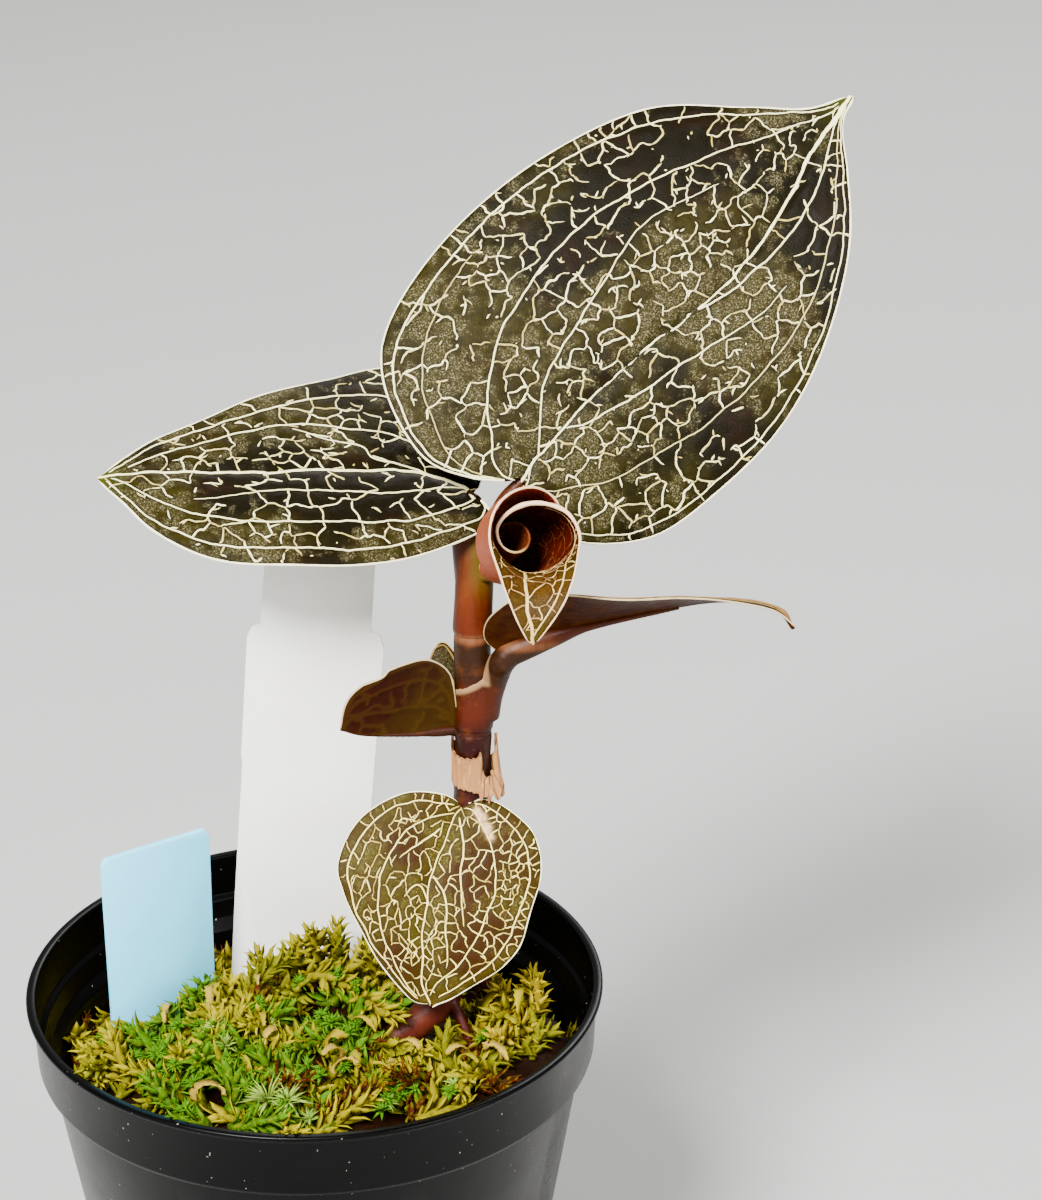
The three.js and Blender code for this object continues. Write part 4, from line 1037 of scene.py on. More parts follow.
# a ring round a line; angle 0 faces the front and 90 degrees the right
def ringAt(line, distance, radius, angles):
    point, _, up, left = line.at(np.broadcast_to(distance, angles.shape))
    reach = np.broadcast_to(radius, angles.shape)[:, None]
    return point + (up * np.cos(angles)[:, None] - left * np.sin(angles)[:, None]) * reach


# a sheath round the stem, open at its top, whose rim leans towards a side
def addSheath(shells, low, high, radius, lean, side):
    angles = circle(64)
    profile = [(low, radius - 0.45, 0), (low + 0.15, radius - 0.12, 0), (low + 0.8, radius, 0)]
    profile += [(blend(low + 0.8, high - 0.5, s), radius - 0.1 * math.sin(math.pi * s), s)
                for s in np.linspace(0.08, 1, 14)]
    profile += [(high - 0.12, radius - 0.03, 1), (high, radius - 0.14, 1), (high - 0.1, radius - 0.3, 1),
                (high - 0.8, radius - 0.42, 1), (high - 2.2, radius - 0.6, 1)]
    rings = []
    for height, width, share in profile:
        tilt = lean * share * np.cos(angles - math.radians(side))
        rings.append(ringAt(stemLine, stemPlace(height) + tilt, width, angles))
    shells.tube(np.array(rings))


# a round tube through points, with its radius by share of the way
def addTube(shells, points, radii, steps=24, sides=20):
    steep = abs(points[-1][2] - points[0][2]) > 0.6 * math.dist(points[0], points[-1])
    up = (0.3, -0.95, 0) if steep else (0.13, 0.31, 0.94)
    line = Line(points, [up, up])
    angles = circle(sides)
    shares = np.linspace(0, 1, steps + 1)
    shells.tube(np.array([ringAt(line, line.length * s, ramp(radii, s), angles) for s in shares]))


# a leaf's stalk and the raised midrib below its blade, whose top stays a
# little below the upper skin
def addStalk(shells, blade, stalk, radii, reach, sink):
    points = [tuple(p) for p in stalk]
    for k, u in enumerate((0.02, reach * 0.3, reach * 0.65, reach)):
        up = blade.axis.at(u * blade.axis.length)[2]
        radius = ramp(radii, (len(stalk) + k) / (len(stalk) + 3))
        points.append(tuple(blade.point(u, 0.0) - up * (radius * 0.8 + sink)))
    addTube(shells, points, radii, steps=60, sides=24)


# marks the painted shade on the flanks round the stem's line and on the right of its
# foot and roots, the green stalks at its top and a sheath's pale rim
def stemMarks(points, rim=None):
    axis = stemLine.at(stemPlace(points[:, 2]))[0]
    aside, ahead = points[:, 0] - axis[:, 0], axis[:, 1] - points[:, 1]
    away = np.hypot(aside, ahead)
    marks = {"flank": smooth(np.abs(aside) / np.maximum(away, 1), 0.45, 1.0),
             "deep": smooth(points[:, 0], 17.6, 19.6) * smooth(points[:, 2], 76, 72),
             "green": smooth(points[:, 2], 117, 123) * smooth(points[:, 0], 19.4, 22)
             * smooth(points[:, 2], 128, 125)}
    if rim:
        high, lean, side, band = rim
        top = high + lean * np.cos(np.arctan2(aside, ahead) - math.radians(side))
        marks["rim"] = smooth(points[:, 2] - top, -band, -band * 0.4) * smooth(away, 3.8, 3.2)
    return marks


# tints of the stem and sheaths by height, from the moss up
def stemFinish(name, look):
    skin = Finish(name)
    place = skin.node("ShaderNodeSeparateXYZ", {}, {0: skin.places()}, 2)
    span = {"Value": place, "From Min": look["from"], "From Max": look["to"]}
    height = skin.node("ShaderNodeMapRange", {}, span)
    body = skin.node("ShaderNodeValToRGB", {"stops": look["stops"]}, {"Fac": height})
    streaks = skin.noise(1.1, 4, 0.6, (1, 1, 0.22))
    blotch = skin.noise(2.4, 3, 0.55)
    colour = skin.layer(body, look["dark"], streaks, 0.42, 0.66, 0.4)
    colour = skin.layer(colour, look["light"], blotch, 0.5, 0.72, 0.25)
    ragged = skin.between(streaks, 0.3, 0.6, to=(0.6, 1.0))
    # painted shade on the flanks and on the right of the foot, then the green stalks and the pale rim
    for key, share in (("flank", 0.5), ("deep", 0.85), ("green", 0.8), ("rim", ragged)):
        colour = skin.mix(skin.mark(key) * share, colour, look[key])
    specks = skin.noise(0.3, 1, 0.5)
    colour = skin.layer(colour, look["speck"], specks, 0.7, 0.78, 0.1)
    return skin.look(Base_Color=colour, Roughness=skin.between(blotch, 0.3, 0.7, to=(0.38, 0.52)),
                     Normal=skin.bump(streaks * 0.7 + specks * 0.3, 0.12, 0.5), Specular_IOR_Level=0.15)


print("stem")
stemSkin = stemFinish("stemSkin", {
    "from": 58, "to": 124,
    # the pinkest stop, low on the foot, is a painted highlight
    "stops": [(0.0, (70, 20, 8)), (0.1, (90, 34, 22)), (0.16, (66, 14, 5)),
              (0.26, (48, 8, 1)), (0.42, (66, 16, 1)), (0.53, (38, 2, 0)),
              (0.63, (34, 2, 0)), (0.655, (58, 10, 0)), (0.68, (74, 20, 0)),
              (0.735, (72, 22, 0)), (0.755, (42, 18, 1)), (0.822, (40, 18, 1)),
              (0.83, (120, 70, 40)), (0.838, (128, 78, 46)), (0.848, (88, 26, 0)),
              (0.93, (100, 38, 0)), (1.0, (84, 30, 1))],
    "dark": (36, 8, 0), "light": (120, 62, 16), "speck": (180, 120, 70),
    # painted shade: the darker flanks, and the deep red on the right of the foot and roots
    "flank": (44, 22, 1), "deep": (60, 5, 1), "rim": (150, 114, 78),
    "green": (92, 80, 16),
})
shells = Shells()
heights = np.concatenate([np.linspace(52.6, 82, 56), np.linspace(82.4, 84, 5), np.linspace(86, 106, 12),
                          np.linspace(107.4, 116.4, 30)])
shells.tube(np.array([ringAt(stemLine, stemPlace(h), ramp(stemWidths, h), circle(40)) for h in heights]))
for path, width in roots:
    addTube(shells, path, [(0, width), (0.6, width * 0.85), (1, width * 0.4)], sides=16)
fuse(shells, "stemBody", stemSkin, stemMarks, voxel=0.28, rounds=3, replaces=("stem",), slot="stem")

# a sheath's foot, top, radius, lean and side; a stalk's points and widths, with
# its reach and depth below the blade; and a pale rim's height, lean, side and band
leafHolders = [
    {"name": "sheathLeft", "voxel": 0.21, "slot": "leaf", "blade": leftBlade, "rim": None,
     "sheath": (113.0, 125.2, 2.5, 1.0, 300),
     "stalk": ([(20.4, 4.2, 119), (19.9, 5.3, 123.5), (19.4, 6.4, 127), (20.2, 6.7, 129)],
               [(0, 1.8), (0.16, 1.7), (0.3, 1.1), (0.43, 0.8), (0.62, 0.6), (1, 0.3)], 0.45, 0.8)},
    {"name": "stalkBig", "voxel": 0.25, "slot": "leaf", "blade": bigBlade, "rim": None,
     "sheath": (113.2, 119, 1.95, 0.6, 200),
     "stalk": ([(21.2, 3.9, 117.2), (21.6, 4.3, 121.5), (22.8, 4.3, 126), (24.6, 3.9, 130.2)],
               [(0, 0.8), (0.4, 0.95), (0.5, 1.0), (0.62, 0.6), (1, 0.3)], 0.45, 0.8)},
    {"name": "stalkRolled", "voxel": 0.21, "slot": "young_leaf", "blade": None, "rim": None,
     "stalk": ([(20.8, 2.8, 117.1), (20.9, 2.5, 119.2), (22.2, 1.5, 121.3), (24.2, -0.4, 122.4)],
               [(0, 0.65), (0.4, 0.75), (1, 1.2)])},
    {"name": "sheathRight", "voxel": 0.21, "slot": "leaf", "blade": rightBlade,
     "sheath": (100.3, 107.2, 2.55, 1.1, 90), "rim": (107.2, 1.1, 90, 1.0),
     "stalk": ([(22.4, 1.7, 102), (22.9, 1.3, 105.3), (24, 0.4, 109.2)],
               [(0, 1.7), (0.34, 1.7), (0.5, 1.3), (0.64, 0.6), (1, 0.25)], 0.6, 0.1)},
    {"name": "sheathFold", "voxel": 0.21, "slot": "leaf", "blade": foldBlade, "rim": None,
     "sheath": (92.2, 100.0, 2.36, 0, 0),
     "stalk": ([(19.8, 1.5, 98.6), (19.2, 1.2, 99.8)],
               [(0, 0.75), (0.3, 0.75), (0.5, 0.45), (1, 0.25)], 0.6, -0.2)},
    {"name": "sheathRound", "voxel": 0.21, "slot": "pale_leaf", "blade": roundBlade, "rim": None,
     "sheath": (83.3, 89.3, 2.5, -1.2, 0),
     "stalk": ([(20.2, -1.9, 86), (19.9, -2.6, 89)],
               [(0, 1.05), (0.3, 0.8), (0.5, 0.45), (1, 0.3)], 0.6, 0.8)},
]
for holder in leafHolders:
    print("sheath", holder["name"])
    shells = Shells()
    if holder["blade"]:
        addSheath(shells, *holder["sheath"])
        addStalk(shells, holder["blade"], *holder["stalk"])
    else:
        addTube(shells, *holder["stalk"])
    fuse(shells, holder["name"], stemSkin, lambda places: stemMarks(places, holder["rim"]),
         voxel=holder["voxel"], slot=holder["slot"])


# The dry sheath: torn paper round the stem, open down one side

# its torn upper and lower edges and how far it stands off, by degrees of turn to
# the right of the front
tornTop = [
    (-168, 97.0), (-120, 98.4), (-104, 100), (-96, 103), (-84, 103.4), (-74, 99.6), (-66, 98.1),
    (-50, 97.5), (-10, 97.3), (12, 97.6), (21, 98.3), (26, 96.6), (34, 95.0), (52, 94.7), (66, 95.4),
    (76, 97.8), (84, 100.2), (94, 100.0), (104, 97.2), (130, 96.4), (160, 96.0),
]
tornFoot = [
    (-168, 93.4), (-95, 93.8), (-50, 93.0), (-5, 92.7), (16, 92.5), (30, 91.9), (60, 92.2), (90, 92.9),
    (160, 93.6),
]
standOff = [(-168, 0.0), (-60, 0.05), (10, 0.25), (40, 1.2), (70, 1.9), (95, 1.2), (120, 0.3), (160, 0.0)]


def drySheathPoint(u, t):
    turn = blend(tornTop[0][0], tornTop[-1][0], np.clip(t, 0, 1))
    angle = np.radians(turn)
    frayed = smooth(turn, 18, 30) * smooth(turn, 104, 92)
    tear = 0.5 * np.sin(23 * angle + 1) + 0.35 * np.sin(41 * angle)
    low = ramp(tornFoot, turn) + tear * (0.15 + 0.75 * frayed)
    high = ramp(tornTop, turn) + 0.12 * tear
    crease = 0.06 * np.sin(9 * angle) + 0.05 * np.sin(17 * angle + 3 * u)
    crease = crease + 0.12 * frayed * np.sin(31 * angle - 4 * u)
    width = 2.45 + ramp(standOff, turn) * (1 - u) ** 1.5 + crease + 0.35 * u
    point, _, up, left = stemLine.at(stemPlace(blend(low, high, u)))
    out = up * np.cos(angle)[..., None] - left * np.sin(angle)[..., None]
    return point + out * width[..., None]


# a closed thin sheet round a surface point(u, t)
def sheetShell(shells, point, uCount, tCount, thickness):
    u, t = np.meshgrid(np.linspace(0, 1, uCount + 1), np.linspace(0, 1, tCount + 1), indexing="ij")
    step = 1e-3
    du, dt = point(u + step, t) - point(u - step, t), point(u, t + step) - point(u, t - step)
    normal = unit(np.cross(du, dt))
    middle, half = point(u, t), normal * thickness / 2
    shells.add(np.stack([middle + half, middle - half]), twoSided(uCount + 1, tCount + 1))


print("dry sheath")
paper = Finish("dryPaper")
fibres = paper.noise(0.5, 4, 0.6, (1, 1, 0.14))
stain = paper.noise(1.8, 3, 0.6)
paperColour = paper.layer((168, 112, 58), (136, 82, 38), stain, 0.5, 0.75)
paperColour = paper.layer(paperColour, (210, 168, 100), fibres, 0.55, 0.7, 0.6)
paper.look(Base_Color=paperColour, Roughness=0.72, Normal=paper.bump(fibres, 0.1, 0.8))
shells = Shells()
sheetShell(shells, drySheathPoint, uCount=26, tCount=260, thickness=0.2)
shells.build("drySheath", paper.material, replaces=("dry_sheath",), slot="dry_sheath")


# The labels: bare plastic plates

labelThickness, labelBevel = 0.8, 0.14
whiteLabel = {
    "outline": [
        (1.2, -38), (8.4, -27), (8.5, -5), (8.55, 20), (8.4, 21), (8.6, 22), (8.8, 47.8), (8.2, 49.4),
        (7, 49.9), (6.9, 61.2), (5.9, 62.6), (-5.9, 62.6), (-6.9, 61.2), (-7.1, 49.9), (-8.2, 49.4),
        (-8.7, 48), (-8.7, 31), (-8.5, 30.2), (-8.6, 10), (-8.4, -27), (-1.2, -38),
    ],
    "centre": (-3.3, 8.4, 61.5), "turn": 0, "lean": 4.7,
}
blueLabel = {
    "outline": [
        (1, -27), (7.4, -19), (7.7, 22.4), (7, 23.5), (-7.2, 23.5), (-7.8, 22.6), (-7.5, -19), (-1, -27),
    ],
    "centre": (-19.9, -1.1, 61.8), "turn": 35, "lean": 0,
}


def plasticFinish(name, look):
    skin = Finish(name)
    scuff = skin.noise(0.5, 4, 0.65, (1, 1, 0.3))
    colour = skin.layer(look["pale"], look["shade"], skin.noise(9, 3, 0.5), 0.3, 0.75)
    colour = skin.layer(colour, look["mark"], scuff, 0.66, 0.8, 0.25)
    rough = skin.between(scuff, 0.35, 0.7, to=(0.36, 0.5))
    return skin.look(Base_Color=colour, Roughness=rough, Normal=skin.bump(scuff, 0.03, 0.5))


def makeLabel(name, node, look, finish, slot):
    print("label", name)
    outline = np.array(look["outline"], float)
    lean, turn = math.radians(look["lean"]), math.radians(look["turn"])
    points = []
    for depth in (labelThickness / 2, -labelThickness / 2):
        x, y, z = outline[:, 0], np.full(len(outline), depth), outline[:, 1]
        x, z = x * math.cos(lean) + z * math.sin(lean), z * math.cos(lean) - x * math.sin(lean)
        x, y = x * math.cos(turn) - y * math.sin(turn), x * math.sin(turn) + y * math.cos(turn)
        points.append(np.stack([x, y, z], -1) + look["centre"])
    n = len(outline)
    faces = [tuple(range(n)), tuple(range(2 * n - 1, n - 1, -1))]
    faces += [(k, (k + 1) % n, n + (k + 1) % n, n + k) for k in range(n)]
    shells = Shells()
    shells.add(np.array(points), faces)
    piece = shells.build(name, finish, replaces=(node,), slot=slot)
    bevel = piece.modifiers.new("round", "BEVEL")
    bevel.width = labelBevel * millimetre
    bevel.segments = 3
    applyModifiers(piece)


makeLabel("labelWhite", "label_white", whiteLabel, plasticFinish("plasticWhite", {
    "pale": (255, 254, 248), "shade": (250, 247, 236), "mark": (224, 216, 198)}),
    "white_label")
makeLabel("labelBlue", "label_blue", blueLabel, plasticFinish("plasticBlue", {
    "pale": (116, 224, 255), "shade": (106, 216, 255), "mark": (90, 182, 230)}),
    "blue_label")


# The pot

potLook = {
    "height": 65, "rim": 37.5, "base": 26, "wall": 1.1, "collar": 9.5, "sides": 176,
    "slits": 8, "slitWidth": 3, "slitDepth": 5.5, "slitFoot": -0.65, "slitTop": 5.85,
}


def makePot(look):
    print("pot")
    rim, top, base = look["rim"], look["height"], look["base"]
    step, inner = top - look["collar"], base - look["wall"]
    profile = [
        (0, 0), (base - 1.6, 0), (base - 0.7, 0.08), (base - 0.15, 0.5), (base + 0.1, 1.2), (34.9, 55),
        (35.1, 55.5), (36.3, 56), (36.45, 56.5), (rim - 0.75, 63.7), (rim - 0.6, 64.05), (rim - 0.15, 64.3),
        (rim, 64.5), (rim, top - 0.25), (rim - 0.12, top - 0.05), (rim - 0.35, top), (rim - 1, top),
        (rim - 1.2, top - 0.12), (rim - 1.28, top - 0.4), (36.15, top - 5.8), (36.05, top - 6.1),
        (35.5, top - 6.35), (35.38, top - 6.7), (35.1, step + 0.5), (34.9, step + 0.1),
        (33.9, step - 0.8), (33.75, step - 1.2), (inner + 0.2, 2), (inner - 0.5, 1.4), (0, 1.4),
    ]
    angles = circle(look["sides"])
    rings = np.array([[(max(r, 0.05) * math.cos(a), max(r, 0.05) * math.sin(a), z) for a in angles]
                      for r, z in profile])
    shells = Shells()
    shells.tube(rings)
    pot = shells.build("potShell", potFinish(), replaces=("pot",), slot="black_pot")
    cutters = Shells()
    half, low, high = look["slitWidth"] / 2, look["slitFoot"], look["slitTop"]
    middle, deep = base - 0.6, look["slitDepth"] / 2
    for k in range(look["slits"]):
        turn = (k + 0.5) * 2 * math.pi / look["slits"]
        corners = []
        for out in (middle - deep, middle + deep):
            for aside, z in ((-half, low), (half, low), (half, high), (-half, high)):
                corners.append((out * math.cos(turn) - aside * math.sin(turn),
                                out * math.sin(turn) + aside * math.cos(turn), z))
        sides = [(k, k + 4, (k + 1) % 4 + 4, (k + 1) % 4) for k in range(4)]
        cutters.add(corners, [(0, 1, 2, 3), (7, 6, 5, 4)] + sides)
    cutter = cutters.build("slitCutter", pot.data.materials[0])
    cut = pot.modifiers.new("slits", "BOOLEAN")
    cut.object = cutter
    cut.solver = "EXACT"
    applyModifiers(pot)
    bpy.data.objects.remove(cutter)


def potFinish():
    skin = Finish("blackGloss")
    dust = skin.noise(0.55, 1, 0.4)
    haze = skin.noise(7, 4, 0.6)
    scratch = skin.noise(0.9, 3, 0.6, (1, 1, 0.06))
    colour = skin.layer((1, 1, 1), (4, 4, 4), haze, 0.45, 0.8, 0.5)
    colour = skin.layer(colour, (170, 164, 150), dust, 0.775, 0.8, 0.8)
    colour = skin.layer(colour, (60, 60, 58), scratch, 0.74, 0.8, 0.12)
    rough = skin.between(haze, 0.3, 0.8, to=(0.26, 0.34)) + skin.between(dust, 0.77, 0.8) * 0.4
    return skin.look(Base_Color=colour, Roughness=rough, Normal=skin.bump(haze, 0.08, 0.3),
                     Specular_IOR_Level=0.08)


makePot(potLook)


# The moss: a dark lumpy bed, scaly strands, green star heads and dry bits

# (x, y, height, spread) of its rises and hollows and of its green regions, and
# (x, y, reach, foot) of two columns kept free for the stem
mossHills = [(1, -3, 5.8, 300), (28, -9, 4, 50), (15, -8.5, -4, 60)]
greenHomes = [(-12, -26, 0.75, 130), (-18, 2, 1, 50), (3, -13, 0.7, 40)]
keptFree = [(17.5, -7.5, 3.3, 61), (12, -9.5, 2.8, 60)]


def withHills(base, x, y, hills):
    for hillX, hillY, height, spread in hills:
        base = base + height * np.exp(-((x - hillX) ** 2 + (y - hillY) ** 2) / spread)
    return base


def mossHeight(x, y):
    edge = -3.2 - (1.2 * y + 0.4 * x) / 37.5
    crest = -1 - np.where(x < 3, 0.018, 0.0125) * (x - 3) ** 2
    behind = -11 * smooth(y - crest, -1, 13)
    lumps = 0.8 * np.sin(0.33 * x + 1) * np.cos(0.29 * y) + 0.5 * np.sin(0.7 * x - 0.5 * y)
    return withHills(65 + edge, x, y, mossHills) + behind + lumps


mossLook = {
    "radius": 34.4, "seed": 11, "strands": 330, "stars": 80, "ribbons": 70, "body": 0.6,
    "bedSides": 150, "bedRows": 44, "bedDepth": 2.6, "strandReach": 34.2, "starReach": 33.0,
    "ribbonReach": 32, "needles": 30,
    "wall": [(0, 24), (54.3, 33.3), (55.6, 34.4), (58.3, 34.9), (58.9, 35.5), (64.8, 35.8), (65.1, 36.9)],
    "leafGap": 0.32, "leafLength": (2.0, 3.2), "leafWidth": (0.85, 1.35),
    "colours": {
        "gold": screen(158, 146, 0), "olive": screen(112, 112, 0), "lime": screen(66, 114, 2),
        "straw": screen(164, 142, 18), "rust": screen(70, 18, 0), "pale": screen(190, 160, 60),
        "earth": screen(26, 8, 1), "star": screen(130, 160, 60), "paleStar": screen(150, 176, 70),
    },
    "earth": {"deep": (16, 3, 1), "light": (44, 24, 2), "glow": 0.0},
    "leafy": {"deep": (56, 44, 1), "light": (160, 152, 6), "glow": 0.05},
    "green": {"deep": (36, 66, 2), "light": (116, 160, 24), "glow": 0.05},
    "tufts": [
        (-6.5, -1.0, 6.0, "gold"), (-4.6, -0.5, 7.2, "olive"), (-2.8, -1.4, 7.5, "gold"),
        (-1.2, -0.4, 8.2, "gold"), (0.6, -1.5, 7.6, "gold"), (2.4, -0.6, 8.0, "gold"),
        (4.2, -1.2, 7.0, "olive"), (6.0, -0.6, 7.6, "gold"), (8.2, -1.6, 8.2, "gold"),
        (-8.6, -1.8, 5.4, "olive"), (-16.4, -6.6, 6.0, "lime"), (-14.8, -6.2, 7.0, "lime"),
        (-13.2, -5.6, 5.6, "lime"), (-18.4, -8.0, 5.0, "lime"), (25.0, -7.0, 6.0, "straw"),
        (27.2, -8.4, 6.6, "gold"), (29.0, -9.4, 6.6, "straw"), (23.0, -5.4, 5.4, "gold"),
    ],
    "starHomes": [
        (-14, -20, 4), (-3, -27, 4), (-18, -26, 4), (3, -12, 3), (-20, -12, 3), (10, -27, 4),
        (-8, -16, 3),
    ],
    "paleStars": [(-4, -29, 4.2), (-1.5, -30, 3.4), (-12, -14, 2.4)],
}


def mossFinish(name, look):
    skin = Finish(name)
    grain = skin.noise(0.5, 3, 0.6)
    colour = skin.layer(skin.mark("tint", "Color"), look["deep"], skin.noise(3.2, 3, 0.6), 0.35, 0.7, 0.35)
    colour = skin.layer(colour, look["light"], grain, 0.45, 0.7, 0.35)
    return skin.look(Base_Color=colour, Roughness=0.6, Normal=skin.bump(grain, 0.1, 0.7),
                     Specular_IOR_Level=0.06, Subsurface_Weight=look["glow"],
                     Subsurface_Radius=(0.0012, 0.0009, 0.0002))


# keeps moss inside the pot's wall, whose reach grows with height
def insidePot(points, look):
    away = np.linalg.norm(points[..., :2], axis=-1)
    limit = np.interp(points[..., 2], *np.array(look["wall"]).T)
    share = np.minimum(1, limit / np.maximum(away, 1e-6))
    points = points.copy()
    points[..., :2] *= share[..., None]
    return points


# a spike of rings of four points with a tip, shaded from its foot to its tip
def addSpike(shells, rings, tip, shades, tint, look):
    count = len(shades) - 1
    last = 4 * count - 4
    faces = gridFaces(count, 4, closed=True) + [(3, 2, 1, 0)]
    faces += [(last + k, last + (k + 1) % 4, last + 4) for k in range(4)]
    shade = np.concatenate([np.repeat(shades[:-1], 4), shades[-1:]])[:, None]
    shells.add(insidePot(np.array(rings + [tip]), look), faces, tint=np.clip(shade * np.array(tint), 0, 1))


# one pointed cupped leaflet: three rings and a tip
def addLeaflet(shells, foot, along, out, length, width, tint, look):
    side = np.cross(along, out)
    rings = []
    for s, wide, lift in ((0.0, 0.5, 0.0), (0.34, 1.0, 0.14), (0.7, 0.58, 0.4)):
        middle = foot + along * length * s + out * length * lift * 0.55
        half, cup = side * width * wide * 0.5, out * width * wide * 0.22
        rings += [middle - half + cup, middle + out * 0.05, middle + half + cup]
        rings += [middle - out * width * 0.22]
    tip = foot + along * length * 0.98 + out * length * 0.44
    addSpike(shells, rings, tip, (0.72, 1.0, 1.12, 1.25), tint, look)


# a star head: needles spread from one point, mostly up and out
def addStar(shells, centre, size, tint, dice, look):
    for _ in range(look["needles"]):
        turn, rise = dice.uniform(0, 2 * math.pi), dice.uniform(-0.15, 1.4)
        along = np.array([math.cos(turn) * math.cos(rise), math.sin(turn) * math.cos(rise), math.sin(rise)])
        side = unit(np.cross(along, (0.1, 0.2, 1)))
        over = np.cross(side, along)
        long, wide = size * dice.uniform(0.7, 1.15), dice.uniform(0.18, 0.28)
        rings = []
        for share, width in ((0.0, 0.9), (0.45, 1.0)):
            middle = centre + along * long * share + over * 0.12 * math.sin(share * 3)
            aside, up = side * wide * width, over * wide * 0.5
            rings += [middle + aside, middle + up, middle - aside, middle - up]
        tip = centre + along * long - np.array([0, 0, 0.12 * long])
        addSpike(shells, rings, tip, (0.65, 1.0, 1.3), np.array(tint) * dice.uniform(0.8, 1.15), look)


# a plump strand with leaflets in a spiral, each lying forward over the next
def addStrand(shells, points, size, tint, look, dice, lean=(30, 10)):
    steep = abs(points[-1][2] - points[0][2]) > 0.7 * np.linalg.norm(points[-1] - points[0])
    line = Line(points, [(1, 0.3, 0) if steep else (0, 0, 1)] * 2, 60)
    shape = [(0, 0.7), (0.3, 1), (0.75, 0.85), (1, 0.25)]
    steps, sides = 9, 7
    places, _, ups, lefts = line.at(line.length * np.linspace(0, 0.97, steps))
    angles = circle(sides)[:, None, None]
    reach = look["body"] * size * ramp(shape, np.linspace(0, 1, steps))[:, None]
    rings = (places + (ups * np.cos(angles) + lefts * np.sin(angles)) * reach).swapaxes(0, 1)
    shells.tube(insidePot(rings, look), tint=np.tile(np.array(tint) * 0.6, (steps * sides, 1)))
    count = int(line.length / look["leafGap"])
    turn = dice.uniform(0, 6.3)
    for k in range(count):
        share = (k + 0.5) / count
        point, along, up, left = line.at(line.length * share)
        turn += math.radians(137.5 + dice.uniform(-10, 10))
        out = up * math.cos(turn) + left * math.sin(turn)
        grown = size * ramp(shape, min(share + 0.05, 1))
        rise = math.radians(blend(*lean, share) + dice.uniform(-7, 7))
        ahead = along * math.cos(rise) + out * math.sin(rise)
        face = out * math.cos(rise) - along * math.sin(rise)
        foot = point + out * look["body"] * grown * 0.75
        length = dice.uniform(*look["leafLength"]) * (0.45 + 0.55 * grown)
        tone = dice.uniform(0.8, 1.18) * (0.85 + 0.3 * share)
        width = dice.uniform(*look["leafWidth"]) * (0.4 + 0.6 * grown)
        addLeaflet(shells, foot, ahead, face, length, width, np.array(tint) * tone, look)


# a curled dry strip with a toothed edge
def addRibbon(shells, points, width, tint, look, dice):
    line = Line(points, [dice.normal(0, 1, 3), (0, 0, 1), dice.normal(0, 1, 3)], 60)
    steps = 17
    share = np.linspace(0, 1, steps)
    place, _, up, left = line.at(line.length * share)
    wide = width * 0.5 * (0.35 + 0.65 * np.sin(math.pi * (0.1 + 0.85 * share)))
    teeth = np.where(np.arange(steps) % 2, 1.0, 0.72)[:, None]
    side, thick = left * wide[:, None], up * 0.13
    curl = up * (wide * 0.45)[:, None]
    rings = [place - side * teeth + curl, place + thick, place + side * teeth + curl, place - thick]
    tone = np.repeat(0.75 + 0.4 * share, 4)[:, None] * np.array(tint)
    shells.tube(insidePot(np.stack(rings, 1), look), tint=np.clip(tone, 0, 1))


# a short arc that curls up from the moss and over
def curlPath(dice, x, y, size):
    heading, first, count = dice.uniform(0, 2 * math.pi), dice.uniform(-40, 60), 6
    across = np.array([math.cos(heading), math.sin(heading), 0])
    turns = np.radians(first + np.linspace(0, dice.uniform(110, 210), count))
    centre = np.array([x, y, mossHeight(x, y) + 1.3])
    reach = size * (1 + 0.2 * np.linspace(0, 1, count))
    drift = np.linspace(0, dice.uniform(-1, 1), count)[:, None] * np.array([-across[1], across[0], 0])
    away = across * np.cos(turns)[:, None] + np.array([0, 0, 1]) * np.sin(turns)[:, None]
    return centre + drift + away * reach[:, None]


# a strand's line, which sways over the moss and rises from it by an angle
def strandPath(dice, x, y, length, rise):
    heading = math.atan2(y, x) + math.pi + dice.uniform(-2.4, 2.4)
    droop, sway = dice.uniform(-0.1, 0.5), dice.uniform(-1.0, 1.0)
    base = mossHeight(x, y)
    points = []
    for share in np.linspace(0, 1, 5):
        turn, run = heading + sway * share, length * share
        px = x + run * math.cos(turn) * math.cos(rise)
        py = y + run * math.sin(turn) * math.cos(rise)
        lift = -1.2 + run * math.sin(rise) * 0.85 - droop * length * share * share * 0.6 * math.cos(rise)
        points.append((px, py, blend(base, mossHeight(px, py), 0.6 * math.cos(rise)) + lift))
    return np.array(points)


def clearOfStem(points):
    return not any(math.hypot(x - footX, y - footY) < reach and z > low
                   for x, y, z in points for footX, footY, reach, low in keptFree)


def regionTint(x, y, dice, look):
    tints = look["colours"]
    green = withHills(0, x, y, greenHomes)
    pale = smooth(np.array(x + 0.3 * y), 8, 20) * 0.3
    chance = dice.random()
    if chance < green:
        return tints["lime"]
    if chance < green + pale:
        return tints["straw"]
    if dice.random() < 0.62 - pale * 0.6:
        return tints["gold"]
    return tints["olive"] if dice.random() < 0.72 - pale else tints["rust"]


# a random place within a reach of the pot's middle
def anywhere(dice, reach):
    away, turn = reach * math.sqrt(dice.random()), dice.uniform(0, 2 * math.pi)
    return away * math.cos(turn), away * math.sin(turn)


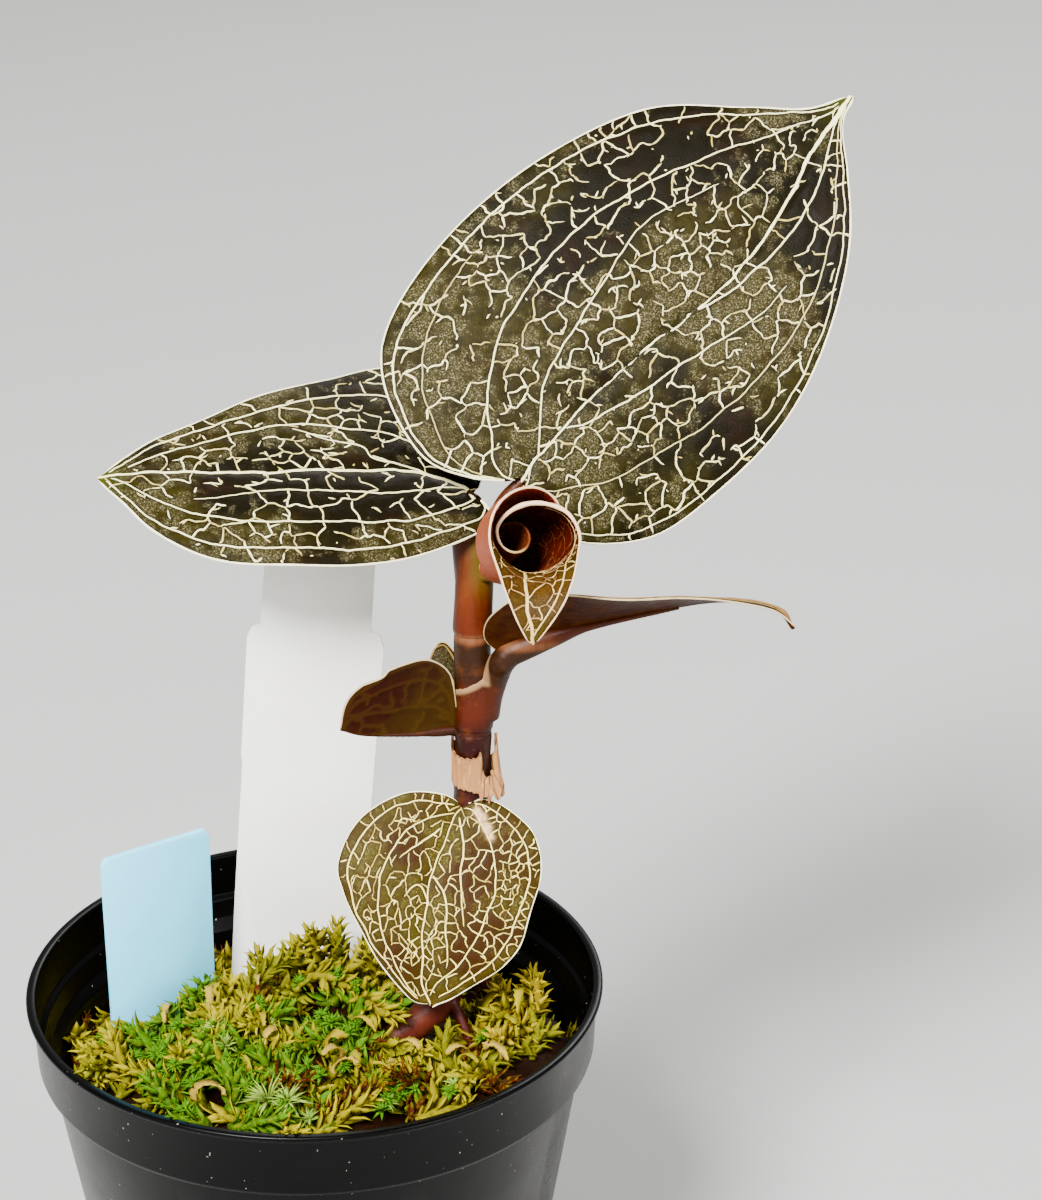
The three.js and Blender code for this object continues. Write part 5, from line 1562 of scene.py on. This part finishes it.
# the bed: up the pot's wall first, and then in over its lumpy top
def makeBed(look):
    angles = circle(look["bedSides"])
    edge = mossHeight(34 * np.cos(angles), 34 * np.sin(angles)) - look["bedDepth"]
    rings = []
    for share in (0.03, 0.35, 0.7, 1.0):
        reach = np.interp(edge * share, *np.array(look["wall"]).T) - 0.25
        rings.append(np.stack([reach * np.cos(angles), reach * np.sin(angles), edge * share], -1))
    for share in np.linspace(1, 0.012, look["bedRows"]):
        reach = look["radius"] * share
        x, y = reach * np.cos(angles), reach * np.sin(angles)
        flat = np.stack([x, y, np.zeros(len(angles))], -1)
        rough = 0.75 * wobble(flat, 2.2, 3) + 0.5 * wobble(flat, 1.0, 5)
        rings.append(np.stack([x, y, mossHeight(x, y) - 1.5 + rough], -1))
    rings = insidePot(np.array(rings), look)
    shells = Shells()
    shells.tube(rings, tint=np.tile(look["colours"]["earth"], (rings.size // 3, 1)))
    shells.build("mossBed", mossFinish("mossEarth", look["earth"]), replaces=("moss_bed",), slot="moss")


# leafy strands all over the bed, tufts at set places and curled dry ribbons, in
# three pieces
def makeStrands(look, dice):
    parts = [Shells() for _ in range(3)]
    tints = look["colours"]
    placed = 0
    while placed < look["strands"]:
        x, y = anywhere(dice, look["strandReach"])
        points = strandPath(dice, x, y, dice.uniform(5.5, 11), dice.uniform(0.0, 0.75))
        if not clearOfStem(points):
            continue
        tint = regionTint(points[2][0], points[2][1], dice, look)
        addStrand(parts[placed % 3], points, dice.uniform(0.85, 1.2), tint, look, dice)
        placed += 1
    for x, y, length, tint in look["tufts"]:
        points = strandPath(dice, x, y, length, dice.uniform(1.1, 1.4))
        lean = (52, 34) if tint == "lime" else (30, 16)
        addStrand(parts[placed % 3], points, dice.uniform(0.9, 1.1), tints[tint], look, dice, lean)
        placed += 1
    for k in range(look["ribbons"]):
        low, high, near, far = (8, 32, -24, 0) if k % 4 else (-24, 8, -30, -8)
        x, y = dice.uniform(low, high), dice.uniform(near, far)
        if math.hypot(x, y) > look["ribbonReach"]:
            continue
        points = curlPath(dice, x, y, dice.uniform(1.0, 2.0))
        if clearOfStem(points):
            tint = tints[("pale", "rust", "straw", "gold", "pale")[k % 5]]
            addRibbon(parts[k % 3], points, dice.uniform(0.9, 1.7), tint, look, dice)
    leafy = mossFinish("mossLeafy", look["leafy"])
    for k, part in enumerate(parts):
        part.build(f"mossStrands{k + 1}", leafy, slot="moss")


# star heads, most of them near their homes and a few pale ones at set places
def makeStars(look, dice):
    stars, tints = Shells(), look["colours"]
    for k in range(look["stars"]):
        x, y = anywhere(dice, look["starReach"])
        if k % 4:
            homeX, homeY, room = look["starHomes"][k % len(look["starHomes"])]
            x, y = dice.normal(homeX, room), dice.normal(homeY, room)
        if math.hypot(x, y) > 33.6 or not clearOfStem([(x, y, 66)]):
            continue
        centre = np.array([x, y, mossHeight(x, y) + dice.uniform(0.4, 1.8)])
        tint = tints["lime" if dice.random() < 0.85 else "star"]
        addStar(stars, centre, dice.uniform(1.5, 2.4), tint, dice, look)
    for x, y, size in look["paleStars"]:
        centre = np.array([x, y, mossHeight(x, y) + 1.6])
        addStar(stars, centre, size, tints["paleStar"], dice, look)
    stars.build("mossStars", mossFinish("mossGreen", look["green"]), slot="moss")


print("moss")
mossDice = np.random.default_rng(mossLook["seed"])
makeBed(mossLook)
makeStrands(mossLook, mossDice)
makeStars(mossLook, mossDice)


# Camera, floor and light

viewLook = {"place": (26.8, -339.5, 267.0), "pitch": 23.6, "lens": 90, "film": 36}
cameraData = bpy.data.cameras.new("view")
cameraData.sensor_fit = "VERTICAL"
cameraData.sensor_height = viewLook["film"]
cameraData.sensor_width = viewLook["film"]
cameraData.lens = viewLook["lens"]
cameraData.clip_start = 0.01
camera = bpy.data.objects.new("view", cameraData)
camera.location = Vector(viewLook["place"]) * millimetre
camera.rotation_euler = (math.radians(90 - viewLook["pitch"]), 0, 0)
bpy.context.scene.collection.objects.link(camera)
bpy.context.scene.camera = camera

floorSkin = Finish("paleFloor")
floorTone = floorSkin.mix(floorSkin.noise(220, 2, 0.5), (196, 195, 193), (202, 201, 199))
floorSkin.look(Base_Color=floorTone, Roughness=0.85)
floorMesh = bpy.data.meshes.new("floor")
floorMesh.from_pydata([(-3, -3, 0), (3, -3, 0), (3, 3, 0), (-3, 3, 0)], [], [(0, 1, 2, 3)])
floor = bpy.data.objects.new("floor", floorMesh)
floorMesh.materials.append(floorSkin.material)
bpy.context.scene.collection.objects.link(floor)


def softLight(name, place, aim, size, power):
    light = bpy.data.lights.new(name, "AREA")
    light.shape = "DISK"
    light.size = size
    light.energy = power
    lamp = bpy.data.objects.new(name, light)
    lamp.location = place
    lamp.rotation_euler = (Vector(aim) - Vector(place)).to_track_quat("-Z", "Y").to_euler()
    bpy.context.scene.collection.objects.link(lamp)


middle = (0.02, 0, 0.1)
softLight("key", (-0.35, -0.75, 0.95), middle, 0.4, 57)
softLight("fill", (0.75, -0.6, 0.6), middle, 0.7, 12)
softLight("back", (0.3, 0.9, 0.8), middle, 0.5, 9)
world = bpy.data.worlds.new("air")
world.use_nodes = True
world.node_tree.nodes["Background"].inputs["Color"].default_value = (1, 1, 1, 1)
world.node_tree.nodes["Background"].inputs["Strength"].default_value = 0.52
bpy.context.scene.world = world
